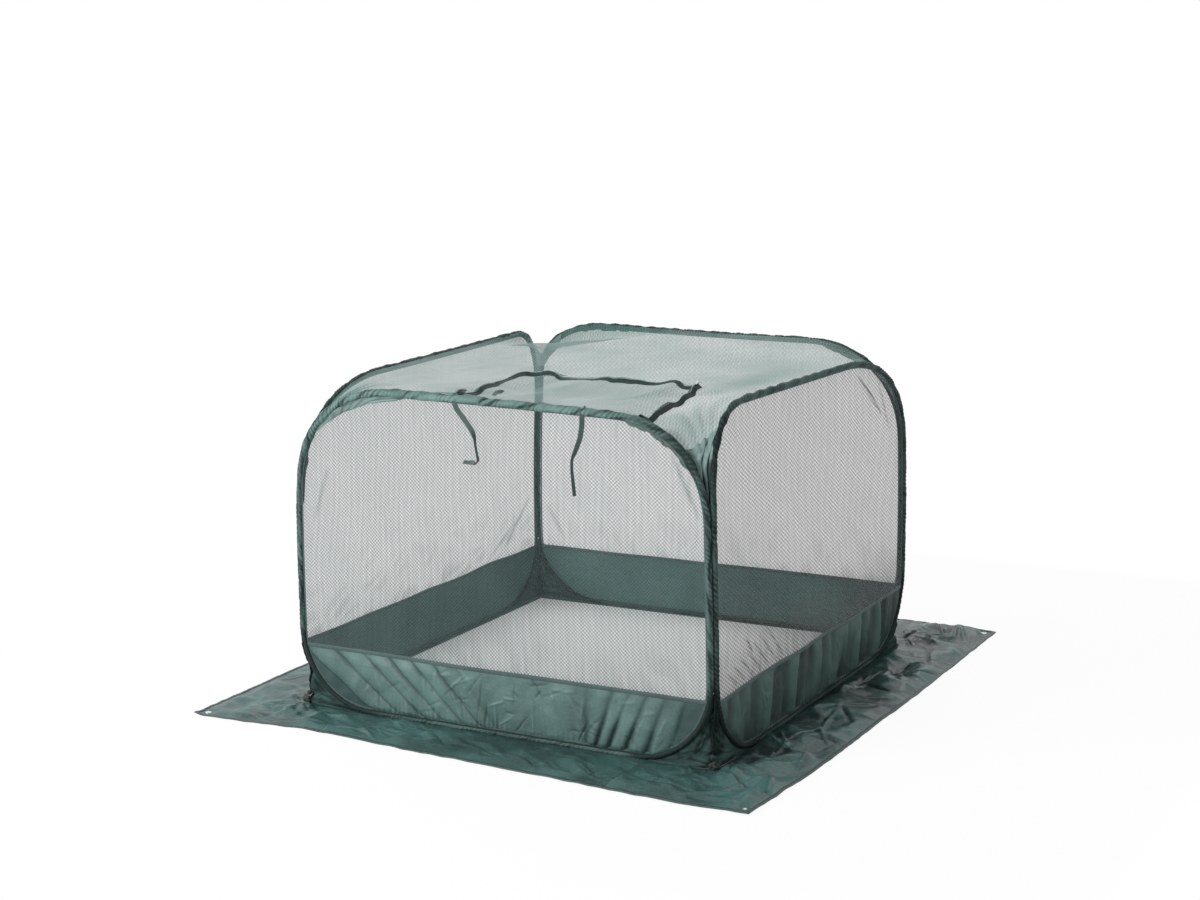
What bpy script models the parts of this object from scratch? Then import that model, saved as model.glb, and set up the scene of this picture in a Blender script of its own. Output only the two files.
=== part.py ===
"""Pop-up greenhouse: four sprung wall loops, net walls and roof, zipped roof flap, ground skirt.

Metres, +Z up. The origin lies on the ground under the middle. The front wall, with the flap's
hinge along its top, faces -Y. The frame folds flat as a rhombus about four upright corner axes.
"""
import math

import bmesh
import bpy
from mathutils import Matrix, Vector

# Overall sizes
WALL_SPAN = 1.200          # between opposite wall planes
OVERALL_HEIGHT = 0.850     # ground to the top of the roof net
BAND_HEIGHT = 0.170        # ground to the top of the seam tape round the foot
SKIRT_WIDTH = 0.205        # from a wall plane out to the skirt's edge

# Spring loops and their sleeves
TOP_BEND = 0.270           # centre-line radius of a loop's upper corners
FOOT_BEND = 0.200          # centre-line radius of its lower corners
TOP_STEPS = 7
FOOT_STEPS = 6
SLEEVE_RADIUS = 0.007
SLEEVE_BORE = 0.0022
SLEEVE_MOUTH = 0.0009      # half width of the slit that the panel enters
SLEEVE_SIDES = 8
WIRE_RADIUS = 0.0015
POST_SETBACK = 1.5 * SLEEVE_RADIUS   # wall corner to the centre of each upright run

# Cloth, net and tape
CLEARANCE = 0.0003
PANEL_THICKNESS = 0.0012
PANEL_SEAT = 0.0035        # panel edge to the loop's centre line
STRAND = 0.006
NET_COLUMNS = 5
NET_ROWS = 4
TAPE_HEIGHT = 0.012
TAPE_THICKNESS = 0.0024
BAND_FOLDS = 9
BAND_FOLD_DEPTH = 0.0035
BAND_COLUMNS = 36
ROOF_CROWN = 0.003         # the roof's rise from its edge
CROWN_REACH = 0.080
ROOF_EDGE = 0.001          # roof edge in from the wall plane
GUSSET_TIP = 0.010         # plan size of a top gusset at its foot
GUSSET_REACH = 0.090       # and at its upper edge, along each wall

# Roof flap and zip
FLAP_LEFT = -0.110
FLAP_RIGHT = 0.415
FLAP_DEPTH = 0.310         # front wall plane to the zip's back run
COIL_GAP = 0.0007          # half the gap between the two coils
COIL_WIDTH = 0.0022
COIL_RISE = 0.0014
COIL_END = 0.006           # front edge of the roof to the coils' ends
ZIP_TAPE_WIDTH = 0.0113
ZIP_TAPE_THICKNESS = 0.0010
SLIDER_LENGTH = 0.011
SLIDER_PLATE = 0.0008
BRIDGE_BAR = 0.0012
PULL_WIDTH = 0.0030
PULL_LENGTH = 0.022
PULL_EYE = 0.00125
PULL_EYE_OUTER = 0.0021

# Ground skirt and eyelets
SKIRT_THICKNESS = 0.0015
SEAM_PAST_BEND = 0.0305    # from the start of a loop's lower bend to the end of each strip
SKIRT_TUCK = 0.003         # how far a corner piece reaches in under its gusset
HEM_WIDTH = 0.008
HEM_THICKNESS = 0.0024
EYELET_INSET = 0.027
EYELET_BORE = 0.0040
EYELET_NECK = 0.0052
EYELET_FLANGE = 0.0085
EYELET_METAL = 0.0007
EYELET_SIDES = 16

# Tie ribbons
RIBBON_WIDTH = 0.009
RIBBON_THICKNESS = 0.0008
TAB_LENGTH = 0.026
TAB_WIDTH = 0.009

# Worked out from the sizes above
HALF = WALL_SPAN / 2
LOOP_HALF = HALF - POST_SETBACK
SKIRT_SEAM = LOOP_HALF - FOOT_BEND + SEAM_PAST_BEND   # half length of a skirt strip
ROOF_LIFT = SLEEVE_RADIUS + CLEARANCE + PANEL_THICKNESS / 2
LOOP_TOP = OVERALL_HEIGHT - PANEL_THICKNESS / 2 - ROOF_CROWN - ROOF_LIFT
LOOP_FOOT = SLEEVE_RADIUS
ACUTE_AXIS = HALF - SLEEVE_RADIUS          # corners that close as the frame folds
OBTUSE_AXIS = HALF - SLEEVE_RADIUS / 2     # corners that open out
ZIP_EDGE = COIL_GAP + COIL_WIDTH + CLEARANCE + ZIP_TAPE_WIDTH
FLAP_BACK = -HALF + FLAP_DEPTH
ROOF_FRONT = -HALF + ROOF_EDGE
FLAP_AXIS_Z = LOOP_TOP + ROOF_LIFT
PULL_AXIS_Z = (OVERALL_HEIGHT - PANEL_THICKNESS / 2 + COIL_RISE + CLEARANCE + SLIDER_PLATE
               + CLEARANCE + PULL_EYE_OUTER)


def clear_scene():
    for old in list(bpy.data.objects):
        bpy.data.objects.remove(old, do_unlink=True)


def make_material(name, colour, roughness, metallic=0.0):
    mat = bpy.data.materials.new(name)
    mat.use_nodes = True
    shader = mat.node_tree.nodes["Principled BSDF"]
    shader.inputs["Base Color"].default_value = (*colour, 1.0)
    shader.inputs["Roughness"].default_value = roughness
    shader.inputs["Metallic"].default_value = metallic
    mat.diffuse_color = (*colour, 1.0)
    return mat


def joint_empty(name, place, parent=None):
    empty = bpy.data.objects.new(name, None)
    empty.empty_display_size = 0.05
    bpy.context.collection.objects.link(empty)
    empty.location = Vector(place)
    if parent is not None:
        empty.parent = parent
        empty.location = Vector(place) - world_place(parent)
    return empty


def world_place(empty):
    place = Vector(empty.location)
    while empty.parent is not None:
        empty = empty.parent
        place += empty.location
    return place


def add_object(name, mesh, mat, body, turn=0.0, smooth=None):
    """Link a mesh modelled in world coordinates, turned about the upright middle axis."""
    obj = bpy.data.objects.new(name, mesh)
    bpy.context.collection.objects.link(obj)
    obj.rotation_euler = (0.0, 0.0, turn)
    obj.parent = body
    obj.matrix_parent_inverse = Matrix.Translation(-world_place(body))
    if not mesh.materials:
        mesh.materials.append(mat)
    if smooth is not None:
        mesh.shade_smooth()
        mesh.set_sharp_from_angle(angle=math.radians(smooth))
    return obj


def mesh_from(bm, name):
    bmesh.ops.recalc_face_normals(bm, faces=bm.faces)
    mesh = bpy.data.meshes.new(name)
    bm.to_mesh(mesh)
    bm.free()
    return mesh


def thicken(obj, thickness):
    solid = obj.modifiers.new("Thickness", "SOLIDIFY")
    solid.thickness = thickness
    solid.offset = 0.0
    return obj


def grid_steps(bm, columns, rows):
    """A flat grid whose vertices are read back as whole column and row numbers."""
    bmesh.ops.create_grid(bm, x_segments=columns, y_segments=rows, size=1.0)
    return [(v, round((v.co.x + 1) / 2 * columns), round((v.co.y + 1) / 2 * rows))
            for v in bm.verts]


def sweep(frames, profile, closed):
    """Run a closed profile of (d, h) offsets through frames of (origin, d axis, h axis)."""
    bm = bmesh.new()
    count = len(frames)
    columns = count if closed else count - 1
    for vert, i, j in grid_steps(bm, columns, len(profile)):
        origin, along_d, along_h = frames[i % count]
        d, h = profile[j % len(profile)]
        vert.co = origin + along_d * d + along_h * h
    bmesh.ops.remove_doubles(bm, verts=bm.verts, dist=1e-7)
    if not closed:
        ends = [e for e in bm.edges if e.is_boundary]
        bmesh.ops.holes_fill(bm, edges=ends, sides=0)
    return bm


def path_frames(points, side_axis, closed=False):
    """Frames along straight runs, with the d axis mitred at each corner."""
    frames = []
    last = len(points) - 1
    for i, point in enumerate(points):
        before = points[i - 1] if (i > 0 or closed) else None
        after = points[(i + 1) % len(points)] if (i < last or closed) else None
        normals = []
        for a, b in ((before, point), (point, after)):
            if a is not None and b is not None:
                normals.append((b - a).normalized().cross(side_axis).normalized())
        d_axis = sum(normals, Vector()).normalized()
        d_axis = d_axis / max(d_axis.dot(normals[0]), 0.2)
        frames.append((point, d_axis, side_axis))
    return frames


# Wall loops: shapes in the front wall's plane, which the other walls repeat by turning

def loop_arc(centre_u, centre_z, radius, first, steps):
    for i in range(steps + 1):
        angle = math.radians(first + 90.0 * i / steps)
        outward = Vector((math.cos(angle), 0.0, math.sin(angle)))
        yield Vector((centre_u, -HALF, centre_z)) + outward * radius, outward


def loop_frames():
    wall_out = Vector((0.0, -1.0, 0.0))
    top, foot = LOOP_HALF - TOP_BEND, LOOP_HALF - FOOT_BEND
    corners = [(top, LOOP_TOP - TOP_BEND, TOP_BEND, 0, TOP_STEPS),
               (-top, LOOP_TOP - TOP_BEND, TOP_BEND, 90, TOP_STEPS),
               (-foot, LOOP_FOOT + FOOT_BEND, FOOT_BEND, 180, FOOT_STEPS),
               (foot, LOOP_FOOT + FOOT_BEND, FOOT_BEND, 270, FOOT_STEPS)]
    return [(place, outward, wall_out)
            for corner in corners for place, outward in loop_arc(*corner)]


def sleeve_profile():
    """A sewn channel: round outside, with a slit toward the panel."""
    lip = math.pi - math.asin(SLEEVE_MOUTH / SLEEVE_RADIUS)
    inner_lip = math.pi - math.asin(SLEEVE_MOUTH / SLEEVE_BORE)
    outer = [-lip + 2 * lip * i / SLEEVE_SIDES for i in range(SLEEVE_SIDES + 1)]
    inner = [inner_lip - 2 * inner_lip * i / 5 for i in range(6)]
    return ([(SLEEVE_RADIUS * math.cos(a), SLEEVE_RADIUS * math.sin(a)) for a in outer]
            + [(SLEEVE_BORE * math.cos(a), SLEEVE_BORE * math.sin(a)) for a in inner])


def wire_profile():
    return [(WIRE_RADIUS * math.cos(math.tau * i / 6), WIRE_RADIUS * math.sin(math.tau * i / 6))
            for i in range(6)]


def half_outline(inset):
    """Right half of the loop's faceted outline, drawn in by the inset, from foot to top."""
    points = [place - outward * inset for place, outward, _ in loop_frames()]
    right = sorted((p.z, p.x) for p in points if p.x > 0)
    return [(x, z) for z, x in right]


def half_width(z, inset):
    """Half the loop's width at a height, for its outline drawn in by the inset."""
    points = half_outline(inset)
    for (u0, z0), (u1, z1) in zip(points, points[1:]):
        if z0 <= z <= z1:
            return u0 + (u1 - u0) * (z - z0) / max(z1 - z0, 1e-9)
    return points[0][0] if z < points[0][1] else points[-1][0]


def foot_line(u, inset):
    """Height of the loop's lower run, drawn in by the inset, at a place along the wall."""
    points = [p for p in half_outline(inset) if p[1] < LOOP_FOOT + FOOT_BEND + 1e-6]
    for (u0, z0), (u1, z1) in zip(points, points[1:]):
        if u0 <= abs(u) <= u1:
            return z0 + (z1 - z0) * (abs(u) - u0) / max(u1 - u0, 1e-9)
    return points[0][1]


def fit_to_loop(u, z, low, inset):
    """Draw a point of the net's bounding box in toward the middle, so its edge meets the loop."""
    high = LOOP_TOP - inset
    middle = (low + high) / 2
    reach_u, reach_z = LOOP_HALF - inset, (high - low) / 2
    share = max(abs(u) / reach_u, abs(z - middle) / reach_z)
    if share < 1e-6:
        return u, z
    edge_u, edge_z = u / share, (z - middle) / share
    near, far = 0.0, 1.0
    for _ in range(40):
        t = (near + far) / 2
        if abs(edge_u * t) <= half_width(middle + edge_z * t, inset):
            near = t
        else:
            far = t
    scale = 1 + (far - 1) * share ** 3
    return u * scale, middle + (z - middle) * scale


# Roof surface

def bend_point(angle):
    """Plan distance (summed from both walls) and height where the roof lies over a corner."""
    c, s = math.cos(angle), math.sin(angle)
    norm = math.sqrt(1 + c * c)
    plan = POST_SETBACK + TOP_BEND * (1 - c) - 2 * ROOF_LIFT * c / norm
    return plan, LOOP_TOP - TOP_BEND + TOP_BEND * s + ROOF_LIFT * s / norm


def bend_angle(plan):
    low, high = 0.0, math.pi / 2
    for _ in range(50):
        middle = (low + high) / 2
        if bend_point(middle)[0] < plan:
            low = middle
        else:
            high = middle
    return high


def ease(t):
    t = min(max(t, 0.0), 1.0)
    return t * t * (3 - 2 * t)


def roof_height(x, y):
    """The roof's middle surface: level, raised a little inside, rolled down at the corners."""
    a, b = HALF - abs(x), HALF - abs(y)
    height = LOOP_TOP + ROOF_LIFT
    if a + b < POST_SETBACK + TOP_BEND:
        height = bend_point(bend_angle(a + b))[1]
    crown = ease((a - ROOF_EDGE) / CROWN_REACH) * ease((b - ROOF_EDGE) / CROWN_REACH)
    return height + ROOF_CROWN * crown


def loop_stations():
    """Places along a wall where the faceted loop turns, so a sheet over it can turn with it."""
    reach = [bend_point(math.pi / 2 * i / TOP_STEPS)[0] - ROOF_EDGE
             for i in range(1, TOP_STEPS + 1)]
    return [HALF - r for r in reach] + [r - HALF for r in reach]


def drape(bm):
    for vert in bm.verts:
        vert.co.z += roof_height(vert.co.x, vert.co.y)
    return bm


# Net panels

def spread(first, last, count):
    return [first + (last - first) * i / count for i in range(count + 1)]


def net_sheet(lines_x, lines_y, cuts, opening=None, corner_cut=0.0):
    """Flat net with a diagonal weave: one gap for each inner line and each edge of a grid."""
    bm = bmesh.new()
    for vert, i, j in grid_steps(bm, len(lines_x) - 1, len(lines_y) - 1):
        vert.co = (lines_x[i], lines_y[j], 0.0)
    if opening is not None:
        x0, x1, y1 = opening
        gone = [f for f in bm.faces
                if x0 < f.calc_center_median().x < x1 and f.calc_center_median().y < y1]
        bmesh.ops.delete(bm, geom=gone, context="FACES")
    if corner_cut:
        cut_corners(bm, lines_x, lines_y, corner_cut)
    inner = [e for e in bm.edges if not e.is_boundary]
    extra = split_edges(bm, cuts)
    centres = bmesh.ops.poke(bm, faces=bm.faces[:])["verts"]
    spokes = {e for v in centres for e in v.link_edges if e.other_vert(v) in extra}
    bmesh.ops.dissolve_edges(bm, edges=inner + list(spokes), use_verts=False)
    gaps = bm.faces[:]
    bmesh.ops.inset_individual(bm, faces=gaps, thickness=STRAND / 2, use_even_offset=True)
    bmesh.ops.delete(bm, geom=gaps, context="FACES")
    return bm


def cut_corners(bm, lines_x, lines_y, cut):
    corners = [v for v in bm.verts
               if abs(v.co.x) > max(lines_x) - 1e-6 and abs(v.co.y) > max(lines_y) - 1e-6]
    for corner in corners:
        for edge in [e for e in corner.link_edges if e.is_boundary]:
            bmesh.utils.edge_split(edge, corner, cut / edge.calc_length())
    bmesh.ops.dissolve_verts(bm, verts=corners)


def split_edges(bm, cuts):
    """Cut outer edges at the marks given along each border of (axis across, level, marks)."""
    extra = set()
    for axis, level, marks in cuts:
        along = 1 - axis
        for mark in marks:
            for edge in [e for e in bm.edges if e.is_boundary]:
                a, b = edge.verts
                if max(abs(a.co[axis] - level), abs(b.co[axis] - level)) > 1e-6:
                    continue
                share = (mark - a.co[along]) / (b.co[along] - a.co[along])
                if 0.02 < share < 0.98:
                    extra.add(bmesh.utils.edge_split(edge, a, share)[1])
    return extra


# Pieces of one wall and one corner

def net_mesh():
    low, high = BAND_HEIGHT + CLEARANCE, LOOP_TOP - PANEL_SEAT
    reach = LOOP_HALF - PANEL_SEAT
    lines_u, lines_z = spread(-reach, reach, NET_COLUMNS), spread(low, high, NET_ROWS)
    marks_u = spread(lines_u[-2], reach, 4)[1:4]
    marks_z = spread(lines_z[-2], high, 4)[1:4] + [(lines_z[-3] + lines_z[-2]) / 2]
    cuts = [(1, high, marks_u + [-u for u in marks_u]), (0, -reach, marks_z), (0, reach, marks_z)]
    bm = net_sheet(lines_u, lines_z, cuts)
    for vert in bm.verts:
        u, z = fit_to_loop(vert.co.x, vert.co.y, low, PANEL_SEAT)
        vert.co = (u, -HALF, z)
    return mesh_from(bm, "wall_net")


def band_mesh():
    """Solid cloth strip round the foot, gathered into slanting folds between its two seams."""
    high = BAND_HEIGHT - TAPE_HEIGHT - CLEARANCE
    reach = half_width(high, PANEL_SEAT)
    while foot_line(reach, PANEL_SEAT) > high - HEM_WIDTH:
        reach -= 0.0005
    bm = bmesh.new()
    for vert, i, j in grid_steps(bm, BAND_COLUMNS, 2):
        across = math.sin(math.pi / 2 * (2 * i / BAND_COLUMNS - 1))
        u = reach * across
        low = foot_line(u, PANEL_SEAT)
        fold = math.sin(math.pi * BAND_FOLDS * across) * math.cos(math.pi / 2 * across)
        depth = BAND_FOLD_DEPTH * fold if j == 1 else 0.0
        vert.co = (u, -HALF - depth, low + (high - low) * j / 2)
    bmesh.ops.triangulate(bm, faces=bm.faces)
    return mesh_from(bm, "wall_band")


def tape_mesh():
    """Binding along the seam between band and net, its ends cut to the sleeve."""
    bm = bmesh.new()
    seat = SLEEVE_RADIUS + CLEARANCE
    bmesh.ops.create_cube(bm, size=1.0)
    for vert in bm.verts:
        z = BAND_HEIGHT - (0.0 if vert.co.z > 0 else TAPE_HEIGHT)
        u = half_width(z, seat) * (1 if vert.co.x > 0 else -1)
        vert.co = (u, -HALF + TAPE_THICKNESS * vert.co.y, z)
    return mesh_from(bm, "seam_tape")


def skirt_profile(inner, outer):
    """Section of the skirt, from its seam out to its folded hem, resting flat."""
    hem = outer - HEM_WIDTH
    return [(inner, 0.0), (outer, 0.0), (outer, HEM_THICKNESS), (hem, HEM_THICKNESS),
            (hem - 0.001, SKIRT_THICKNESS), (inner, SKIRT_THICKNESS)]


def skirt_strip_mesh():
    ends = [Vector((-SKIRT_SEAM, -HALF, 0)), Vector((SKIRT_SEAM, -HALF, 0))]
    inner = math.sqrt(SLEEVE_RADIUS ** 2 - (SLEEVE_RADIUS - SKIRT_THICKNESS) ** 2)
    inner += 2 * CLEARANCE
    profile = [(d, h) for d, h in skirt_profile(inner, SKIRT_WIDTH)]
    return mesh_from(sweep(path_frames(ends, Vector((0, 0, 1))), profile, False), "skirt_strip")


def skirt_corner_mesh():
    start = SKIRT_SEAM + CLEARANCE
    inner = HALF - SKIRT_TUCK
    points = [Vector((start, -inner, 0)), Vector((inner, -inner, 0)), Vector((inner, -start, 0))]
    profile = skirt_profile(0.0, SKIRT_WIDTH + SKIRT_TUCK)
    return mesh_from(sweep(path_frames(points, Vector((0, 0, 1))), profile, False),
                     "skirt_corner")


def turned(profile, name):
    bm = bmesh.new()
    verts = [bm.verts.new((r, 0.0, z)) for r, z in profile]
    count = len(verts)
    edges = [bm.edges.new((verts[i], verts[(i + 1) % count])) for i in range(count)]
    bmesh.ops.spin(bm, geom=verts + edges, cent=(0, 0, 0), axis=(0, 0, 1), dvec=(0, 0, 0),
                   angle=math.tau, steps=EYELET_SIDES, use_merge=True, use_duplicate=False)
    bmesh.ops.remove_doubles(bm, verts=bm.verts, dist=1e-7)
    return mesh_from(bm, name)


def eyelet_mesh():
    """Rolled two-flange eyelet, its lower flange let into the hem cloth."""
    top = SKIRT_THICKNESS + CLEARANCE
    return turned([(EYELET_BORE, 0.0), (EYELET_FLANGE, 0.0), (EYELET_FLANGE, EYELET_METAL - 1e-4),
                   (EYELET_NECK, EYELET_METAL - 1e-4), (EYELET_NECK, top), (EYELET_FLANGE, top),
                   (EYELET_FLANGE - EYELET_METAL, top + EYELET_METAL),
                   (EYELET_BORE + EYELET_METAL / 2, top + EYELET_METAL)], "eyelet")


def eyelet_cutter_mesh():
    seat = EYELET_FLANGE + CLEARANCE
    neck = EYELET_NECK + CLEARANCE
    step = EYELET_METAL - 1e-4 + CLEARANCE
    return turned([(0.0, -0.002), (seat, -0.002), (seat, step), (neck, step),
                   (neck, 0.004), (0.0, 0.004)], "eyelet_cutter")


def top_gusset_mesh():
    """Cloth between two neighbouring loops where they part, over the front right corner."""
    first, last = bend_angle(GUSSET_TIP), bend_angle(GUSSET_REACH)
    turns = [math.pi / 2 * i / TOP_STEPS for i in range(TOP_STEPS + 1)]
    rows = [first] + [t for t in turns if first + 0.03 < t < last - 0.03] + [last]
    bm = bmesh.new()
    columns = 3
    for vert, i, j in grid_steps(bm, columns, len(rows) - 1):
        plan, z = bend_point(rows[j])
        a = ROOF_EDGE + (plan - 2 * ROOF_EDGE) * i / columns
        vert.co = (HALF - a, -HALF + (plan - a), z)
    return mesh_from(bm, "top_gusset")


def foot_gusset_mesh():
    """Cloth outside two loops' lower corners, folded round the corner and down to the skirt."""
    reach = FOOT_BEND + SLEEVE_RADIUS + CLEARANCE
    centre_z = LOOP_FOOT + FOOT_BEND
    low = SKIRT_THICKNESS + CLEARANCE
    turns = [math.pi / 2 * i / FOOT_STEPS for i in range(1, FOOT_STEPS)]
    rows = turns + [math.asin((centre_z - low) / reach)]
    bend = 0.006
    bm = bmesh.new()
    for vert, i, j in grid_steps(bm, 6, len(rows) - 1):
        z = centre_z - reach * math.sin(rows[j])
        leg = POST_SETBACK + FOOT_BEND - reach * math.cos(rows[j])
        steps = [leg, (leg + bend) / 2, bend, bend * 0.3]
        if i < 3:
            plan = (steps[i], 0.0)
        elif i == 3:
            plan = (steps[3], steps[3])
        else:
            plan = (0.0, steps[6 - i])
        vert.co = (HALF - plan[0], -HALF + plan[1], z)
    return mesh_from(bm, "foot_gusset")


# Roof, flap and zip

def roof_mesh():
    edge = HALF - ROOF_EDGE
    left, right = FLAP_LEFT - ZIP_EDGE - CLEARANCE, FLAP_RIGHT + ZIP_EDGE + CLEARANCE
    back = FLAP_BACK + ZIP_EDGE + CLEARANCE
    lines_x = spread(-edge, left, 3) + spread(left, right, 3)[1:] + [edge]
    lines_y = spread(-edge, back, 2) + spread(back, edge, 4)[1:]
    cut = GUSSET_REACH + 0.0005 - 2 * ROOF_EDGE
    marks = loop_stations()
    cuts = [(axis, level, marks) for axis in (0, 1) for level in (-edge, edge)]
    bm = net_sheet(lines_x, lines_y, cuts, (left, right, back), cut)
    bmesh.ops.triangulate(bm, faces=bm.faces)
    return mesh_from(drape(bm), "roof_net")


def flap_lines():
    left, right = FLAP_LEFT + ZIP_EDGE + CLEARANCE, FLAP_RIGHT - ZIP_EDGE - CLEARANCE
    back = FLAP_BACK - ZIP_EDGE - CLEARANCE
    return spread(left, right, 3), spread(ROOF_FRONT, back, 2)


def flap_mesh():
    bm = net_sheet(*flap_lines(), [(1, ROOF_FRONT, loop_stations())])
    bmesh.ops.triangulate(bm, faces=bm.faces)
    return mesh_from(drape(bm), "flap_net")


def zip_frames(start):
    """The zip's line: back along the left, across, and forward along the right."""
    level = POST_SETBACK + TOP_BEND - (HALF - FLAP_RIGHT)
    rise = [ROOF_FRONT + start]
    rise += [ROOF_FRONT + CROWN_REACH * share for share in (0.25, 0.5, 0.75, 1.0)]
    rise.append(max(level - HALF, rise[-1]) + 0.002)
    left = [Vector((FLAP_LEFT, y, 0)) for y in rise]
    right = [Vector((FLAP_RIGHT, y, 0)) for y in reversed(rise)]
    back = [Vector((FLAP_LEFT, FLAP_BACK, 0)), Vector((FLAP_RIGHT, FLAP_BACK, 0))]
    return path_frames(left + back + right, Vector((0, 0, -1)))


def zip_strip(inner, outer, low, high, start, name):
    """A strip beside the zip's line; positive offsets lie on the roof's side."""
    profile = [(inner, -low), (outer, -low), (outer, -high), (inner, -high)]
    return mesh_from(drape(sweep(zip_frames(start), profile, False)), name)


def slider_mesh():
    """Slider on the roof's coil: plates above and below, joined between the two coils."""
    level = OVERALL_HEIGHT - PANEL_THICKNESS / 2
    post = COIL_GAP - CLEARANCE
    under = -PANEL_THICKNESS / 2 - CLEARANCE
    over = COIL_RISE + CLEARANCE
    wide = COIL_GAP + COIL_WIDTH
    outline = [(-wide, under - SLIDER_PLATE), (wide, under - SLIDER_PLATE), (wide, under),
               (post, under), (post, over), (wide + 0.0021, over),
               (wide + 0.0021, over + SLIDER_PLATE), (-post, over + SLIDER_PLATE),
               (-post, under), (-wide, under)]
    middle_y = FLAP_BACK - SLIDER_LENGTH / 2 - ZIP_EDGE / 3
    ends = [Vector((FLAP_RIGHT, middle_y - SLIDER_LENGTH / 2, level)),
            Vector((FLAP_RIGHT, middle_y + SLIDER_LENGTH / 2, level))]
    bm = sweep([(e, Vector((1, 0, 0)), Vector((0, 0, 1))) for e in ends], outline, False)
    return mesh_from(bm, "zip_slider"), middle_y


def bridge_mesh(middle_y):
    """Square loop on the slider's upper plate, which carries the pull."""
    base = OVERALL_HEIGHT - PANEL_THICKNESS / 2 + COIL_RISE + CLEARANCE + SLIDER_PLATE / 2
    left = FLAP_RIGHT - COIL_GAP + CLEARANCE
    right = FLAP_RIGHT + COIL_GAP + COIL_WIDTH + 0.0021
    bar = BRIDGE_BAR / 2
    leg = (right - left - PULL_WIDTH - 2 * CLEARANCE) / 2
    outline = [(left, base), (left + leg, base), (left + leg, PULL_AXIS_Z - bar),
               (right - leg, PULL_AXIS_Z - bar), (right - leg, base), (right, base),
               (right, PULL_AXIS_Z + bar), (left, PULL_AXIS_Z + bar)]
    ends = [Vector((0, middle_y - bar, 0)), Vector((0, middle_y + bar, 0))]
    bm = sweep([(e, Vector((1, 0, 0)), Vector((0, 0, 1))) for e in ends], outline, False)
    return mesh_from(bm, "bridge"), (left + right) / 2


def pull_mesh(middle_x, middle_y):
    """Tab with a rolled eye round the bridge, leaning back and down to just over the coils."""
    bm = bmesh.new()
    sides = 12
    across = [middle_x - PULL_WIDTH / 2, middle_x + PULL_WIDTH / 2]
    coil_top = OVERALL_HEIGHT - PANEL_THICKNESS / 2 + COIL_RISE
    half_tab = PULL_EYE_OUTER * math.sin(math.pi / sides)
    lean = math.asin((PULL_AXIS_Z - coil_top - CLEARANCE - half_tab) / PULL_LENGTH)
    for vert, i, j in grid_steps(bm, sides, 3):
        angle = math.tau * i / sides - lean + math.pi / sides
        radius = PULL_EYE_OUTER if j in (1, 2) else PULL_EYE
        x = across[0] if j in (0, 1) else across[1]
        vert.co = (x, middle_y + radius * math.cos(angle), PULL_AXIS_Z + radius * math.sin(angle))
    bmesh.ops.remove_doubles(bm, verts=bm.verts, dist=1e-7)
    rims = [e for e in bm.edges if e.is_boundary]
    bmesh.ops.bridge_loops(bm, edges=rims)
    facing = Vector((0.0, math.cos(lean), -math.sin(lean)))
    outer = [f for f in bm.faces if f.calc_center_median().x - middle_x < 1e-5
             and abs(f.calc_center_median().x - middle_x) < 1e-5]
    grip = max(outer, key=lambda f: (f.calc_center_median()
                                     - Vector((middle_x, middle_y, PULL_AXIS_Z))).dot(facing))
    tab = bmesh.ops.extrude_discrete_faces(bm, faces=[grip])["faces"][0]
    bmesh.ops.translate(bm, verts=tab.verts, vec=facing * (PULL_LENGTH - PULL_EYE_OUTER))
    return mesh_from(bm, "zip_pull")


# Ribbons

def ribbon_mesh(route, name):
    """Flat tie ribbon hanging close behind the front wall, along points of (x, z)."""
    y = -HALF + SLEEVE_RADIUS + CLEARANCE + RIBBON_THICKNESS / 2
    frames = path_frames([Vector((x, y, z)) for x, z in route], Vector((0, 1, 0)))
    w, t = RIBBON_WIDTH / 2, RIBBON_THICKNESS / 2
    return mesh_from(sweep(frames, [(-w, -t), (w, -t), (w, t), (-w, t)], False), name)


def tab_mesh(x, y, turn, name):
    """Short tie end lying on the roof."""
    bm = bmesh.new()
    bmesh.ops.create_cube(bm, size=1.0)
    base = PANEL_THICKNESS / 2 + 2 * CLEARANCE + RIBBON_THICKNESS / 2
    bmesh.ops.scale(bm, verts=bm.verts, vec=(TAB_LENGTH, TAB_WIDTH, RIBBON_THICKNESS))
    bmesh.ops.rotate(bm, verts=bm.verts, matrix=Matrix.Rotation(turn, 3, "Z"))
    bmesh.ops.translate(bm, verts=bm.verts, vec=(x, y, base))
    return mesh_from(drape(bm), name)


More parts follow.
